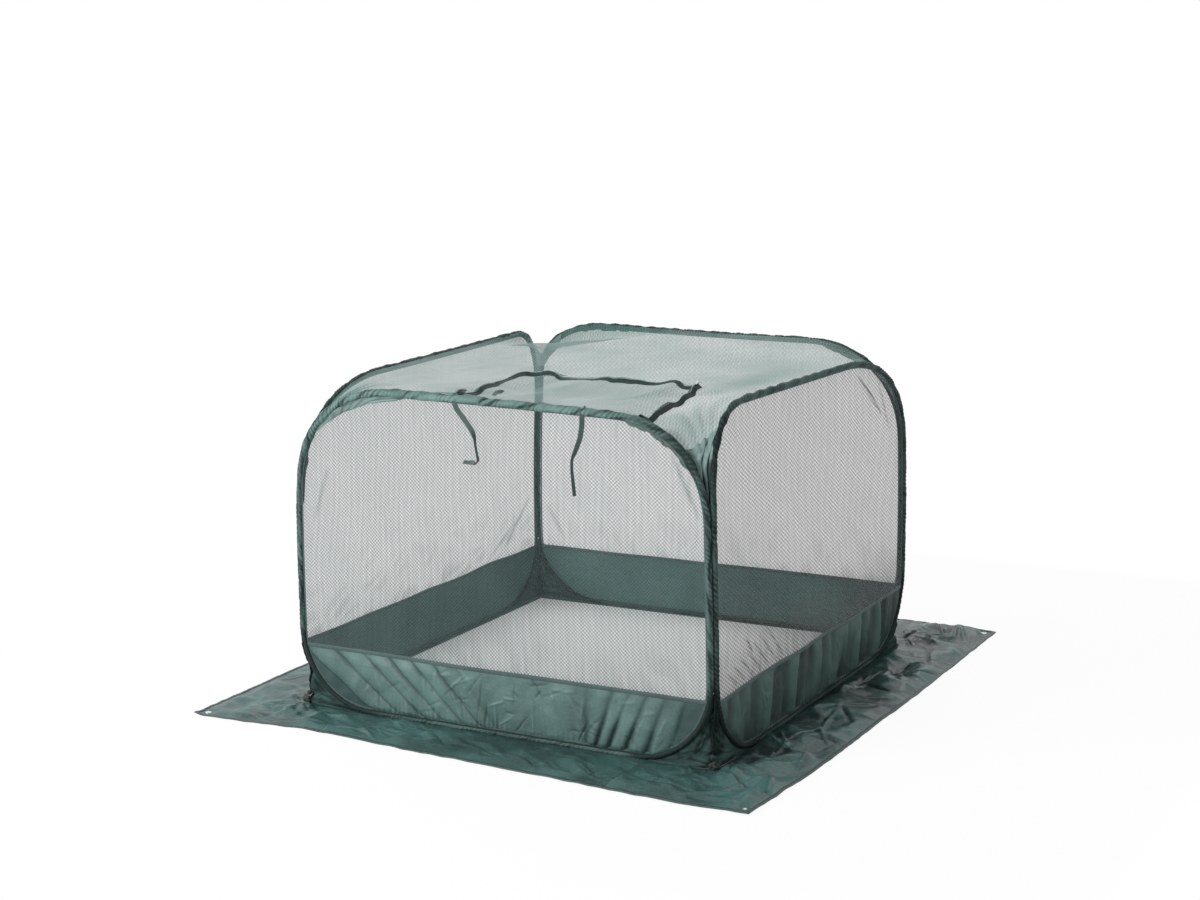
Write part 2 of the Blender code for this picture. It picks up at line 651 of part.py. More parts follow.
def build():
    clear_scene()
    cloth = make_material("woven polyester", (0.090, 0.160, 0.140), 0.62)
    sleeve_cloth = make_material("sleeve tape", (0.035, 0.075, 0.065), 0.70)
    net = make_material("fine net", (0.420, 0.470, 0.450), 0.80)
    skirt_cloth = make_material("skirt cloth", (0.075, 0.130, 0.120), 0.38)
    steel = make_material("spring steel", (0.35, 0.36, 0.38), 0.35, 1.0)
    zip_cloth = make_material("zip tape", (0.020, 0.030, 0.028), 0.80)
    nylon = make_material("zip coil", (0.030, 0.035, 0.035), 0.45)
    plated = make_material("plated metal", (0.62, 0.63, 0.64), 0.28, 1.0)
    ribbon = make_material("tie ribbon", (0.045, 0.085, 0.075), 0.75)

    front = joint_empty("front_wall_base", (0, 0, 0))
    right = joint_empty("right_wall_hinge", (ACUTE_AXIS, -ACUTE_AXIS, 0), front)
    left = joint_empty("left_wall_hinge", (-OBTUSE_AXIS, -OBTUSE_AXIS, 0), front)
    back = joint_empty("back_wall_hinge", (OBTUSE_AXIS, OBTUSE_AXIS, 0), right)
    flap = joint_empty("roof_flap_hinge", (0, ROOF_FRONT, FLAP_AXIS_Z), front)

    walls = [("front", front, 0), ("right", right, 1), ("back", back, 2), ("left", left, 3)]
    frames = loop_frames()
    wire = mesh_from(sweep(frames, wire_profile(), True), "spring_loop")
    sleeve = mesh_from(sweep(frames, sleeve_profile(), True), "sleeve")
    shared = {"net": net_mesh(), "band": band_mesh(), "tape": tape_mesh(),
              "strip": skirt_strip_mesh()}
    for name, body, quarter in walls:
        turn = math.pi / 2 * quarter
        add_object(f"spring_loop_{name}", wire, steel, body, turn, 40)
        add_object(f"sleeve_{name}", sleeve, sleeve_cloth, body, turn, 50)
        thicken(add_object(f"net_{name}", shared["net"], net, body, turn), PANEL_THICKNESS)
        thicken(add_object(f"band_{name}", shared["band"], cloth, body, turn), PANEL_THICKNESS)
        add_object(f"seam_tape_{name}", shared["tape"], sleeve_cloth, body, turn)
        add_object(f"skirt_{name}", shared["strip"], skirt_cloth, body, turn)

    corners = [("front_right", front, 0), ("back_right", right, 1),
               ("back_left", back, 2), ("front_left", front, 3)]
    top_gusset, foot_gusset = top_gusset_mesh(), foot_gusset_mesh()
    skirt_corner, eyelet, cutter_mesh = skirt_corner_mesh(), eyelet_mesh(), eyelet_cutter_mesh()
    tip = HALF + SKIRT_WIDTH - EYELET_INSET
    for name, body, quarter in corners:
        turn = math.pi / 2 * quarter
        thicken(add_object(f"top_gusset_{name}", top_gusset, cloth, body, turn), PANEL_THICKNESS)
        thicken(add_object(f"foot_gusset_{name}", foot_gusset, cloth, body, turn),
                PANEL_THICKNESS)
        piece = add_object(f"skirt_corner_{name}", skirt_corner, skirt_cloth, body, turn)
        place = Matrix.Rotation(turn, 4, "Z") @ Matrix.Translation((tip, -tip, 0))
        ring = add_object(f"eyelet_{name}", eyelet, plated, body, 0.0, 40)
        ring.matrix_basis = place
        cutter = add_object(f"eyelet_hole_{name}", cutter_mesh, plated, body)
        cutter.matrix_basis = place
        cutter.hide_render = True
        cutter.display_type = "WIRE"
        hole = piece.modifiers.new("Eyelet hole", "BOOLEAN")
        hole.operation = "DIFFERENCE"
        hole.object = cutter

    thicken(add_object("roof_net", roof_mesh(), net, front), PANEL_THICKNESS)
    thicken(add_object("roof_flap_net", flap_mesh(), net, flap), PANEL_THICKNESS)
    thin, sheet = ZIP_TAPE_THICKNESS / 2, PANEL_THICKNESS / 2
    coil_edge, tape_edge = COIL_GAP + COIL_WIDTH, COIL_GAP + COIL_WIDTH + CLEARANCE
    strips = [("zip_tape_roof", tape_edge, ZIP_EDGE, -thin, thin, 0, zip_cloth, front),
              ("zip_coil_roof", COIL_GAP, coil_edge, -sheet, COIL_RISE, COIL_END, nylon, front),
              ("zip_tape_flap", -ZIP_EDGE, -tape_edge, -thin, thin, 0, zip_cloth, flap),
              ("zip_coil_flap", -coil_edge, -COIL_GAP, -sheet, COIL_RISE, COIL_END, nylon, flap)]
    for name, inner, outer, low, high, start, mat, body in strips:
        add_object(name, zip_strip(inner, outer, low, high, start, name), mat, body)

    slider_shape, slider_y = slider_mesh()
    bridge_shape, pull_x = bridge_mesh(slider_y)
    slider = joint_empty("zip_slider_track", (FLAP_RIGHT, slider_y, OVERALL_HEIGHT), front)
    pull = joint_empty("zip_pull_hinge", (pull_x, slider_y, PULL_AXIS_Z), slider)
    body = add_object("zip_slider", slider_shape, plated, slider)
    bridge = add_object("slider_bridge", bridge_shape, plated, slider)
    bridge.hide_render = True
    bridge.display_type = "WIRE"
    joined = body.modifiers.new("Bridge", "BOOLEAN")
    joined.operation = "UNION"
    joined.object = bridge
    add_object("zip_pull", pull_mesh(pull_x, slider_y), plated, pull)

    start = LOOP_TOP + RIBBON_WIDTH / 4
    left_route = [(-0.115, start), (-0.058, start - 0.060), (-0.039, start - 0.086),
                  (-0.030, start - 0.142), (-0.074, start - 0.150)]
    right_route = [(0.265, start), (0.261, start - 0.071), (0.237, start - 0.122),
                   (0.240, start - 0.210)]
    add_object("tie_ribbon_left", ribbon_mesh(left_route, "ribbon_left"), ribbon, front)
    add_object("tie_ribbon_right", ribbon_mesh(right_route, "ribbon_right"), ribbon, front)
    beside_zip = FLAP_LEFT - COIL_GAP - COIL_WIDTH - TAB_LENGTH / 2 - 4 * CLEARANCE
    add_object("tie_tab_roof", tab_mesh(beside_zip, 0.060 - HALF, 0.10, "tab_roof"), ribbon, front)
    across, back = flap_lines()
    on_strand = across[1] + (across[0] - across[1]) * 0.20
    behind = back[0] + (back[1] - back[0]) * 0.20
    add_object("tie_tab_flap", tab_mesh(on_strand, behind, 0.35, "tab_flap"), ribbon, flap)


build()
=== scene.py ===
import math

import bmesh
import bpy
import numpy as np
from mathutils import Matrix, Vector


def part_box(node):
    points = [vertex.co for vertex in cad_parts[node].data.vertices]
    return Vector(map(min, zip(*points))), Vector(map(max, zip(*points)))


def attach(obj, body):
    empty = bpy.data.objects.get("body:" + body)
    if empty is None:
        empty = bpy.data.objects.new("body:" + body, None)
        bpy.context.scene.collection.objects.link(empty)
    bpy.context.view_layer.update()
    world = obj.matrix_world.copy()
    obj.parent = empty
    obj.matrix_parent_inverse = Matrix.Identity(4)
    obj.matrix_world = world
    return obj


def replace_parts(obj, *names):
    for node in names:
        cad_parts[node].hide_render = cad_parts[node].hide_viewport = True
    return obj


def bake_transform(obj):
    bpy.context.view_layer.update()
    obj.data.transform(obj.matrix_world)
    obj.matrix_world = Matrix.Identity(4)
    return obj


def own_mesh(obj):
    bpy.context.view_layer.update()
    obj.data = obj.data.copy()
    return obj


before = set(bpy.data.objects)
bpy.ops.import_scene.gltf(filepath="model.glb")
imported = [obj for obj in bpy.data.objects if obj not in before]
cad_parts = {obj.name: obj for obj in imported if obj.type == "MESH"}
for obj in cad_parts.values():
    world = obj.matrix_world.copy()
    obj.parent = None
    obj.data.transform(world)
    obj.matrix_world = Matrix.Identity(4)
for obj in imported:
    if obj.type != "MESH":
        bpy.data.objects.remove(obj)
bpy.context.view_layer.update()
print("frame loaded")

# Plan and loops, metres
half = 0.600            # wall plane from the middle
postLine = 0.5895       # upright run of a loop from the middle of its wall
bandTop = 0.170
footBend = 0.200
footRun = 0.007         # centre line of a loop's bottom run
skirtWidth = 0.205
skirtSeam = 0.420       # end of each straight skirt strip
skirtTuck = 0.016       # how far the skirt reaches in under the loops
cornerRound = 2.3       # exponent of the loops' upper corners, 2 would be a plain ellipse

# Each loop as it stands: top height, reach and drop of the corner at its left and right end,
# crown of the top run, and how far the top leans inward
loops = {
    "front": dict(top=(0.848, 0.8215), reach=(0.304, 0.257), drop=(0.281, 0.251),
                  crown=0.004, lean=0.000),
    "right": dict(top=(0.857, 0.838), reach=(0.172, 0.410), drop=(0.196, 0.258),
                  crown=0.001, lean=0.005),
    "back": dict(top=(0.872, 0.8515), reach=(0.249, 0.299), drop=(0.163, 0.274),
                 crown=-0.007, lean=-0.012),
    "left": dict(top=(0.8325, 0.850), reach=(0.365, 0.130), drop=(0.310, 0.2455),
                 crown=-0.003, lean=0.027),
}
outward = {"front": (0, -1, 0), "right": (1, 0, 0), "back": (0, 1, 0), "left": (-1, 0, 0)}
wallNames = list(loops)
pinched = {"back": -1, "left": 1}      # the end at which each back left wall's post is tied close
frameLean = {"from": 0.18, "over": 0.684, "farCorner": 0.008}      # the far right corner bows out


# Fields over a surface

def ease(t):
    t = np.clip(t, 0, 1)
    return t * t * (3 - 2 * t)


def waves(a, b, size, seed, count=7):
    # Smooth rolling height, about -1 to 1.
    draw = np.random.default_rng(seed)
    total = np.zeros(np.broadcast(a, b).shape)
    for _ in range(count):
        turn, shift = draw.uniform(0, math.tau), draw.uniform(0, math.tau)
        k = math.tau / (size * draw.uniform(0.7, 1.5))
        total += np.sin(k * (a * math.cos(turn) + b * math.sin(turn)) + shift)
    return total / math.sqrt(count)


def ripple(t, size, seed, count=7):
    # Waves along one line.
    return waves(t, 0 * t, size, seed, count)


def facets(a, b, size, seed, count=4):
    # Flat facets that meet in sharp creases, as in stiff crumpled cloth.
    draw = np.random.default_rng(seed)
    bentA = 0.30 * size * waves(a, b, size * 2.3, seed + 101)
    bentB = 0.30 * size * waves(a, b, size * 2.3, seed + 202)
    total = np.zeros(np.broadcast(a, b).shape)
    for _ in range(count):
        turn, shift = draw.uniform(0, math.tau), draw.uniform(0, 1)
        stretch = draw.uniform(0.8, 1.6)
        along = (a + bentA) * math.cos(turn) + (b + bentB) * math.sin(turn)
        t = along / (size * stretch) + shift
        total += 4 * np.abs(t - np.floor(t) - 0.5) - 1
    return total / math.sqrt(count)


def creases(a, b, lines):
    # Sum of soft creases, each from one point to another with a width and a height.
    total = np.zeros(np.broadcast(a, b).shape)
    for a0, b0, a1, b1, width, height in lines:
        da, db = a1 - a0, b1 - b0
        t = ((a - a0) * da + (b - b0) * db) / (da * da + db * db)
        inside = np.clip(t, 0, 1)
        away = np.hypot(a - a0 - inside * da, b - b0 - inside * db)
        total += height * np.exp(-(away / width) ** 2) * np.sqrt(np.sin(math.pi * inside))
    return total


def scatter(seed, count, low, high, short, long, width, height, swing=math.pi):
    # Short creases strewn over an area; swing is how far they turn from its length.
    draw = np.random.default_rng(seed)
    lines = []
    for _ in range(count):
        (a, b), turn = draw.uniform(low, high), draw.uniform(-swing / 2, swing / 2)
        reach, size = draw.uniform(short, long) / 2, draw.uniform(0.5, 1) * draw.choice([-1, 1])
        da, db = reach * math.cos(turn), reach * math.sin(turn)
        lines.append((a - da, b - db, a + da, b + db, width, height * size))
    return lines


def patches(a, b, spots):
    # Soft oval patches over a surface, each with its middle, half widths and how much.
    return sum(much * np.exp(-((a - midA) / wide) ** 2 - ((b - midB) / deep) ** 2)
               for midA, midB, wide, deep, much in spots)


# The standing frame

def wallSeed(first, wall, step=10):
    return first + step * wallNames.index(wall)


def cornerDrop(away, reach, drop):
    left = np.clip(1 - away / reach, 0, 1)
    return drop * (1 - (1 - left ** cornerRound) ** (1 / cornerRound))


def cornerCurve(t):
    # The two legs of an upper corner's quarter turn, t from 0 on the post to a right angle.
    return np.cos(t) ** (2 / cornerRound), np.sin(t) ** (2 / cornerRound)


def runHeight(wall, along):
    # Height of the top run's line, without its corners.
    w = loops[wall]
    t = np.clip((along + postLine) / (2 * postLine), 0, 1)
    return w["top"][0] + (w["top"][1] - w["top"][0]) * t + w["crown"] * 4 * t * (1 - t)


def topLine(wall, along):
    w = loops[wall]
    drops = (cornerDrop(along + postLine, w["reach"][0], w["drop"][0])
             + cornerDrop(postLine - along, w["reach"][1], w["drop"][1]))
    return runHeight(wall, along) - drops


def leaned(points):
    # The whole frame leans a little at the top.
    x, y, z = points[..., 0], points[..., 1], points[..., 2]
    lift = (np.clip(z - frameLean["from"], 0, None) / frameLean["over"]) ** 2
    s, t = np.clip((x + half) / (2 * half), 0, 1), np.clip((y + half) / (2 * half), 0, 1)
    x = x + lift * (loops["left"]["lean"] * (1 - s) - loops["right"]["lean"] * s)
    y = y + lift * (loops["front"]["lean"] * (1 - t) - loops["back"]["lean"] * t)
    bow = frameLean["farCorner"] * s * t * np.sin(math.pi * np.clip(z / 0.86, 0, 1))
    return np.stack([x + bow, y + bow, z], -1)


def beside(wall, along, out):
    # A spot by a wall in plan: along it, and out from its plane.
    across = {"front": (along, -half - out), "right": (half + out, along),
              "back": (along, half + out), "left": (-half - out, along)}[wall]
    return np.broadcast_arrays(*across)


def onWall(wall, along, z, inward):
    along, z, inward = np.broadcast_arrays(along, z, inward)
    pinch = pinched.get(wall, 0)
    along = along + pinch * 0.0035 * ease((along * pinch - 0.50) / 0.08)
    return leaned(np.stack([*beside(wall, along, -inward), z], -1))


def loopPath(wall, count, inset=0.0):
    # Evenly spaced points once round a loop, from the middle of its bottom run.
    w = loops[wall]
    t = np.linspace(0, math.pi / 2, 60)
    c, s = cornerCurve(t)
    footA, footZ = postLine - footBend + footBend * np.sin(t), footRun + footBend * (1 - np.cos(t))
    rightA = postLine - w["reach"][1] * (1 - c)
    rightZ = runHeight(wall, rightA) - w["drop"][1] * (1 - s)
    leftA = -postLine + w["reach"][0] * (1 - c[::-1])
    leftZ = runHeight(wall, leftA) - w["drop"][0] * (1 - s[::-1])
    spanA = np.linspace(rightA[-1], leftA[0], 60)[1:-1]
    spanZ = runHeight(wall, spanA)
    a = np.concatenate([[0], footA, rightA, spanA, leftA, -footA[::-1], [0]])
    z = np.concatenate([[footRun], footZ, rightZ, spanZ, leftZ, footZ[::-1], [footRun]])
    if inset:
        along, up = np.gradient(a), np.gradient(z)
        size = np.hypot(along, up) + 1e-12
        a, z = a - inset * up / size, z + inset * along / size
    travel = np.concatenate([[0], np.cumsum(np.hypot(np.diff(a), np.diff(z)))])
    even = np.linspace(0, travel[-1], count + 1)[:-1]
    return np.interp(even, travel, a), np.interp(even, travel, z), travel[-1]


# Mesh tools

def startGrid(columns, rows):
    bm = bmesh.new()
    bmesh.ops.create_grid(bm, x_segments=columns, y_segments=rows, size=0.5)
    bmesh.ops.translate(bm, verts=bm.verts, vec=(0.5, 0.5, 0))
    return bm


def makeObject(bm, name, material, smooth=True):
    mesh = bpy.data.meshes.new(name)
    bm.to_mesh(mesh)
    bm.free()
    made = bpy.data.objects.new(name, mesh)
    bpy.context.scene.collection.objects.link(made)
    mesh.materials.append(material)
    if smooth:
        mesh.shade_smooth()
    return made


def hang(bm, flat, where, tones):
    # Lays a mesh out flat, keeps that as its UV map and the tones as an attribute (a net's cover
    # or a cloth's painted shade), and hangs it.
    for v, x, y in zip(bm.verts, *flat):
        v.co = (x, y, 0)
    layer = bm.loops.layers.uv.new("cloth")
    for face in bm.faces:
        for loop in face.loops:
            loop[layer].uv = loop.vert.co.xy
    if tones is not None:
        tone = bm.verts.layers.float.new("coverAndShade")
        for v, amount in zip(bm.verts, tones):
            v[tone] = float(amount)
    for v, p in zip(bm.verts, where):
        v.co = p


def asCut(a, b):
    return a, b


def shapeSheet(name, bm, pattern, place, facing, material, coverAndShade=None, thickness=0.0):
    # Cloth from a flat grid: pattern gives its cut shape, place hangs that, coverAndShade gives a
    # net's cover or a cloth's painted shade.
    a, b = pattern(*np.array([v.co[:2] for v in bm.verts]).T)
    hang(bm, (a, b), place(a, b), None if coverAndShade is None else coverAndShade(a, b))
    bmesh.ops.remove_doubles(bm, verts=bm.verts, dist=1e-6)
    bmesh.ops.recalc_face_normals(bm, faces=bm.faces)
    ahead = Vector(facing)
    if sum((f.normal.dot(ahead) * f.calc_area() for f in bm.faces), 0.0) < 0:
        bmesh.ops.reverse_faces(bm, faces=bm.faces)
    made = makeObject(bm, name, material)
    if thickness:
        solid = made.modifiers.new("thickness", "SOLIDIFY")
        solid.thickness, solid.offset = thickness, -1
    return made


def ring(turn, radius):
    return radius * np.cos(math.tau * turn), radius * np.sin(math.tau * turn)


def sweep(name, path, upward, section, around, material, closed=False, coverAndShade=None):
    # Carries a section along a path. section(turn, travel) gives its two offsets in metres.
    count = len(path)
    ahead = np.roll(path, -1, 0) - np.roll(path, 1, 0) if closed else np.gradient(path, axis=0)
    ahead /= np.linalg.norm(ahead, axis=1)[:, None] + 1e-12
    upward = np.broadcast_to(np.asarray(upward, float), path.shape)
    up = upward - (upward * ahead).sum(1)[:, None] * ahead
    up /= np.linalg.norm(up, axis=1)[:, None] + 1e-12
    side = np.cross(ahead, up)
    steps = np.linalg.norm(np.diff(path, axis=0), axis=1)
    travel = np.concatenate([[0], np.cumsum(steps)])
    total = travel[-1] + (np.linalg.norm(path[0] - path[-1]) if closed else 0)
    rows = count if closed else count - 1
    bm = startGrid(around, rows)
    flat = np.array([v.co[:2] for v in bm.verts])
    j = np.rint(flat[:, 1] * rows).astype(int)
    distance = np.where(j < count, travel[np.minimum(j, count - 1)], total)
    j = j % count
    turn = np.rint(flat[:, 0] * around) / around
    offSide, offUp = section(turn % 1.0, distance % (total + 1e-9) if closed else distance)
    where = path[j] + side[j] * offSide[:, None] + up[j] * offUp[:, None]
    size = math.tau * max(float(np.hypot(offSide, offUp).mean()), 1e-4)
    hang(bm, (turn * size, distance), where, None if coverAndShade is None else coverAndShade(turn, distance))
    bmesh.ops.remove_doubles(bm, verts=bm.verts, dist=1e-7)
    if not closed:
        bmesh.ops.holes_fill(bm, edges=[e for e in bm.edges if e.is_boundary], sides=0)
    bmesh.ops.recalc_face_normals(bm, faces=bm.faces)
    return makeObject(bm, name, material)


def flatSection(width, thickness, pucker=0.0, pitch=0.01):
    # A flat strip with soft edges.
    def section(turn, travel):
        angle = turn * math.tau
        c, s = np.cos(angle), np.sin(angle)
        wide = np.sign(c) * np.abs(c) ** 0.35 * width / 2
        high = np.sign(s) * np.abs(s) ** 0.6 * thickness / 2
        return wide, high + pucker * np.sin(math.tau * travel / pitch) * np.abs(s)
    return section


# Materials

def srgb(red, green, blue):
    return tuple(c / 255 / 12.92 if c <= 10 else ((c / 255 + 0.055) / 1.055) ** 2.4
                 for c in (red, green, blue)) + (1.0,)


def put(tree, kind, **settings):
    made = tree.nodes.new(kind)
    for key, value in settings.items():
        setattr(made, key, value)
    return made


def feed(tree, socket, value):
    if isinstance(value, bpy.types.NodeSocket):
        tree.links.new(value, socket)
    elif value is not None:
        socket.default_value = value


def calc(tree, operation, *values):
    made = put(tree, "ShaderNodeMath", operation=operation)
    for socket, value in zip(made.inputs, values):
        feed(tree, socket, value)
    return made.outputs[0]


def remap(tree, value, low, high, newLow=0.0, newHigh=1.0):
    made = put(tree, "ShaderNodeMapRange", interpolation_type="SMOOTHSTEP")
    for socket, amount in zip(made.inputs, (value, low, high, newLow, newHigh)):
        feed(tree, socket, amount)
    return made.outputs[0]


def mixColour(tree, amount, first, second, how="MIX"):
    made = put(tree, "ShaderNodeMix", data_type="RGBA", blend_type=how)
    feed(tree, made.inputs[0], amount)
    feed(tree, made.inputs[6], first)
    feed(tree, made.inputs[7], second)
    return made.outputs[2]


def noise(tree, vector, scale, detail=2.0, roughness=0.5):
    made = put(tree, "ShaderNodeTexNoise")
    feed(tree, made.inputs["Vector"], vector)
    for key, value in (("Scale", scale), ("Detail", detail), ("Roughness", roughness)):
        feed(tree, made.inputs[key], value)
    return made.outputs["Fac"]


def splitAxes(tree, vector):
    split = put(tree, "ShaderNodeSeparateXYZ")
    feed(tree, split.inputs[0], vector)
    return split.outputs


def newGroup(name, inputs, outputs):
    tree = bpy.data.node_groups.new(name, "ShaderNodeTree")
    for label, kind, start in inputs:
        socket = tree.interface.new_socket(name=label, in_out="INPUT", socket_type=kind)
        if start is not None:
            socket.default_value = start
    for label, kind in outputs:
        tree.interface.new_socket(name=label, in_out="OUTPUT", socket_type=kind)
    return tree, put(tree, "NodeGroupInput").outputs, put(tree, "NodeGroupOutput").inputs


def useGroup(tree, group, **values):
    made = put(tree, "ShaderNodeGroup", node_tree=group)
    for label, value in values.items():
        feed(tree, made.inputs[label.replace("_", " ")], value)
    return made.outputs


def makeWeaveGroup():
    # Plain weave: height of the threads, over and under.
    tree, given, result = newGroup("plainWeave", [("Vector", "NodeSocketVector", None),
                                                  ("Pitch", "NodeSocketFloat", 0.001)],
                                   [("Height", "NodeSocketFloat")])
    threads = []
    for axis in splitAxes(tree, given["Vector"])[:2]:
        turns = calc(tree, "MULTIPLY", calc(tree, "DIVIDE", axis, given["Pitch"]), math.pi)
        threads.append(calc(tree, "SINE", turns))
    crossed = calc(tree, "MULTIPLY", *threads)
    feed(tree, result["Height"], calc(tree, "MULTIPLY_ADD", crossed, 0.5, 0.5))
    return tree


def makeNettingGroup():
    # Knitted netting: rows of loops on a slant, each row broken into stitches.
    tree, given, result = newGroup("netting", [("Vector", "NodeSocketVector", None),
                                               ("Across", "NodeSocketFloat", 0.015),
                                               ("Along", "NodeSocketFloat", 0.014),
                                               ("Broken", "NodeSocketFloat", 0.35)],
                                   [("Mask", "NodeSocketFloat")])
    axes = splitAxes(tree, given["Vector"])
    a = calc(tree, "DIVIDE", axes[0], given["Across"])
    b = calc(tree, "DIVIDE", axes[1], given["Along"])
    rows = calc(tree, "SINE", calc(tree, "MULTIPLY", calc(tree, "ADD", a, b), math.tau))
    knots = calc(tree, "SINE", calc(tree, "MULTIPLY", calc(tree, "SUBTRACT", b, a), math.tau))
    whole = calc(tree, "MULTIPLY", rows, calc(tree, "SUBTRACT", 1.0, given["Broken"]))
    both = calc(tree, "ADD", whole, calc(tree, "MULTIPLY", knots, given["Broken"]))
    feed(tree, result["Mask"], calc(tree, "MULTIPLY_ADD", both, 0.5, 0.5))
    return tree


def makeMottleGroup():
    # Uneven fading and dust over an outdoor cloth, large and small together.
    tree, given, result = newGroup("mottle", [("Vector", "NodeSocketVector", None),
                                              ("Scale", "NodeSocketFloat", 6.0)],
                                   [("Mask", "NodeSocketFloat")])
    broad = noise(tree, given["Vector"], given["Scale"], 3.0, 0.6)
    fine = noise(tree, given["Vector"], calc(tree, "MULTIPLY", given["Scale"], 40.0), 2.0, 0.5)
    both = calc(tree, "MULTIPLY_ADD", fine, 0.30, calc(tree, "MULTIPLY", broad, 0.70))
    feed(tree, result["Mask"], remap(tree, both, 0.32, 0.68))
    return tree


def makeStitchGroup():
    # One row of stitches: dashes along a line.
    tree, given, result = newGroup("stitchRow", [("Along", "NodeSocketFloat", 0.0),
                                                 ("Across", "NodeSocketFloat", 0.0),
                                                 ("Line", "NodeSocketFloat", 0.0),
                                                 ("Spacing", "NodeSocketFloat", 0.004)],
                                   [("Mask", "NodeSocketFloat")])
    t = calc(tree, "FRACT", calc(tree, "DIVIDE", given["Along"], given["Spacing"]))
    dash = remap(tree, calc(tree, "ABSOLUTE", calc(tree, "SUBTRACT", t, 0.5)), 0.36, 0.26)
    away = calc(tree, "ABSOLUTE", calc(tree, "SUBTRACT", given["Across"], given["Line"]))
    feed(tree, result["Mask"], calc(tree, "MULTIPLY", dash, remap(tree, away, 0.0008, 0.0004)))
    return tree


weaveGroup, nettingGroup = makeWeaveGroup(), makeNettingGroup()
mottleGroup, stitchGroup = makeMottleGroup(), makeStitchGroup()


def newMaterial(name, roughness, metallic=0.0, **sockets):
    material = bpy.data.materials.new(name)
    material.use_nodes = True
    tree = material.node_tree
    shader = next(n for n in tree.nodes if n.type == "BSDF_PRINCIPLED")
    shader.inputs["Roughness"].default_value = roughness
    shader.inputs["Metallic"].default_value = metallic
    for label, value in sockets.items():
        shader.inputs[label.replace("_", " ")].default_value = value
    return material, tree, shader.inputs


def clothMap(tree):
    return put(tree, "ShaderNodeUVMap", uv_map="cloth").outputs[0]


def shadeHere(tree):
    # Reads the attribute that holds a net's cover or a cloth's painted shade.
    return put(tree, "ShaderNodeAttribute", attribute_name="coverAndShade").outputs["Fac"]


def addBump(tree, sockets, height, strength, distance):
    bump = put(tree, "ShaderNodeBump")
    bump.inputs["Strength"].default_value = strength
    bump.inputs["Distance"].default_value = distance
    feed(tree, bump.inputs["Height"], height)
    feed(tree, sockets["Normal"], bump.outputs[0])


def makeNetMaterial(name, colour, shade, low, high, across, along, broken, drift, bands=0.0):
    # Netting that is partly seen through: low and high are how much a hole and a row cover.
    material, tree, sockets = newMaterial(name, 0.75, Sheen_Weight=0.15)
    cloth = clothMap(tree)
    mottled = useGroup(tree, mottleGroup, Vector=cloth, Scale=5.0)["Mask"]
    place = put(tree, "ShaderNodeVectorMath", operation="ADD")
    feed(tree, place.inputs[0], cloth)
    stray = put(tree, "ShaderNodeCombineXYZ")
    feed(tree, stray.inputs[0], calc(tree, "MULTIPLY", noise(tree, cloth, 3.0, 1.0), drift))
    feed(tree, place.inputs[1], stray.outputs[0])
    rows = useGroup(tree, nettingGroup, Vector=place.outputs[0], Across=across, Along=along,
                    Broken=broken)["Mask"]
    alpha = calc(tree, "MULTIPLY_ADD", rows, high - low, low)
    alpha = calc(tree, "MULTIPLY_ADD", calc(tree, "SUBTRACT", mottled, 0.5), 0.04, alpha)
    if bands:                    # rows that bunch and spread in upright bands
        bent = calc(tree, "MULTIPLY_ADD", noise(tree, cloth, 2.2, 1.0), 26.0,
                    calc(tree, "MULTIPLY", splitAxes(tree, cloth)[0], math.tau / 0.020))
        alpha = calc(tree, "MULTIPLY_ADD", calc(tree, "SINE", bent), bands, alpha)
    alpha = calc(tree, "MINIMUM", calc(tree, "ADD", alpha, shadeHere(tree)), 0.97)
    feed(tree, sockets["Alpha"], calc(tree, "MAXIMUM", alpha, 0.02))
    feed(tree, sockets["Base Color"], mixColour(tree, mottled, shade, colour))
    addBump(tree, sockets, rows, 0.3, 0.0006)
    return material


def makeClothMaterial(name, colour, shade, roughness, pitch=0.0010, weave=0.25, crinkle=0.0,
                      paintedShade=0.0, mottling=1.0, stitches=(), thread=None, **sockets):
    # Woven cloth: faded patches, painted shade from the attribute at the strength paintedShade,
    # weave and crinkle in the bump, and rows of stitching.
    material, tree, inputs = newMaterial(name, roughness, **sockets)
    cloth = clothMap(tree)
    mottled = useGroup(tree, mottleGroup, Vector=cloth, Scale=4.0)["Mask"]
    tone = calc(tree, "SUBTRACT", mottled, calc(tree, "MULTIPLY", shadeHere(tree), paintedShade))
    tone = calc(tree, "MULTIPLY_ADD", calc(tree, "SUBTRACT", mottled, 0.5), mottling - 1, tone)
    colourNow = mixColour(tree, remap(tree, tone, -0.4, 1.1), shade, colour)
    threads = useGroup(tree, weaveGroup, Vector=cloth, Pitch=pitch)["Height"]
    height = calc(tree, "MULTIPLY", threads, weave)
    if crinkle:
        height = calc(tree, "MULTIPLY_ADD", noise(tree, cloth, 90.0, 3.0, 0.6), crinkle, height)
    if stitches:
        across, along, _ = splitAxes(tree, cloth)
        for line in stitches:
            row = useGroup(tree, stitchGroup, Along=along, Across=across, Line=line,
                           Spacing=0.0042)["Mask"]
            colourNow = mixColour(tree, row, colourNow, thread)
            height = calc(tree, "ADD", row, height)
    feed(tree, inputs["Base Color"], colourNow)
    feed(tree, inputs["Roughness"], calc(tree, "MULTIPLY_ADD", mottled, 0.10, roughness - 0.05))
    addBump(tree, inputs, height, 0.5, 0.0005)
    return material


def makePlainCloth(name, colour, shade, roughness):
    # Cloth on a lump that has no pattern of its own: mottled and crumpled in place.
    material, tree, inputs = newMaterial(name, roughness, Sheen_Weight=0.1)
    spot = put(tree, "ShaderNodeTexCoord").outputs["Object"]
    mottled = useGroup(tree, mottleGroup, Vector=spot, Scale=90.0)["Mask"]
    feed(tree, inputs["Base Color"], mixColour(tree, mottled, shade, colour))
    addBump(tree, inputs, noise(tree, spot, 420.0, 3.0, 0.6), 0.6, 0.0006)
    return material


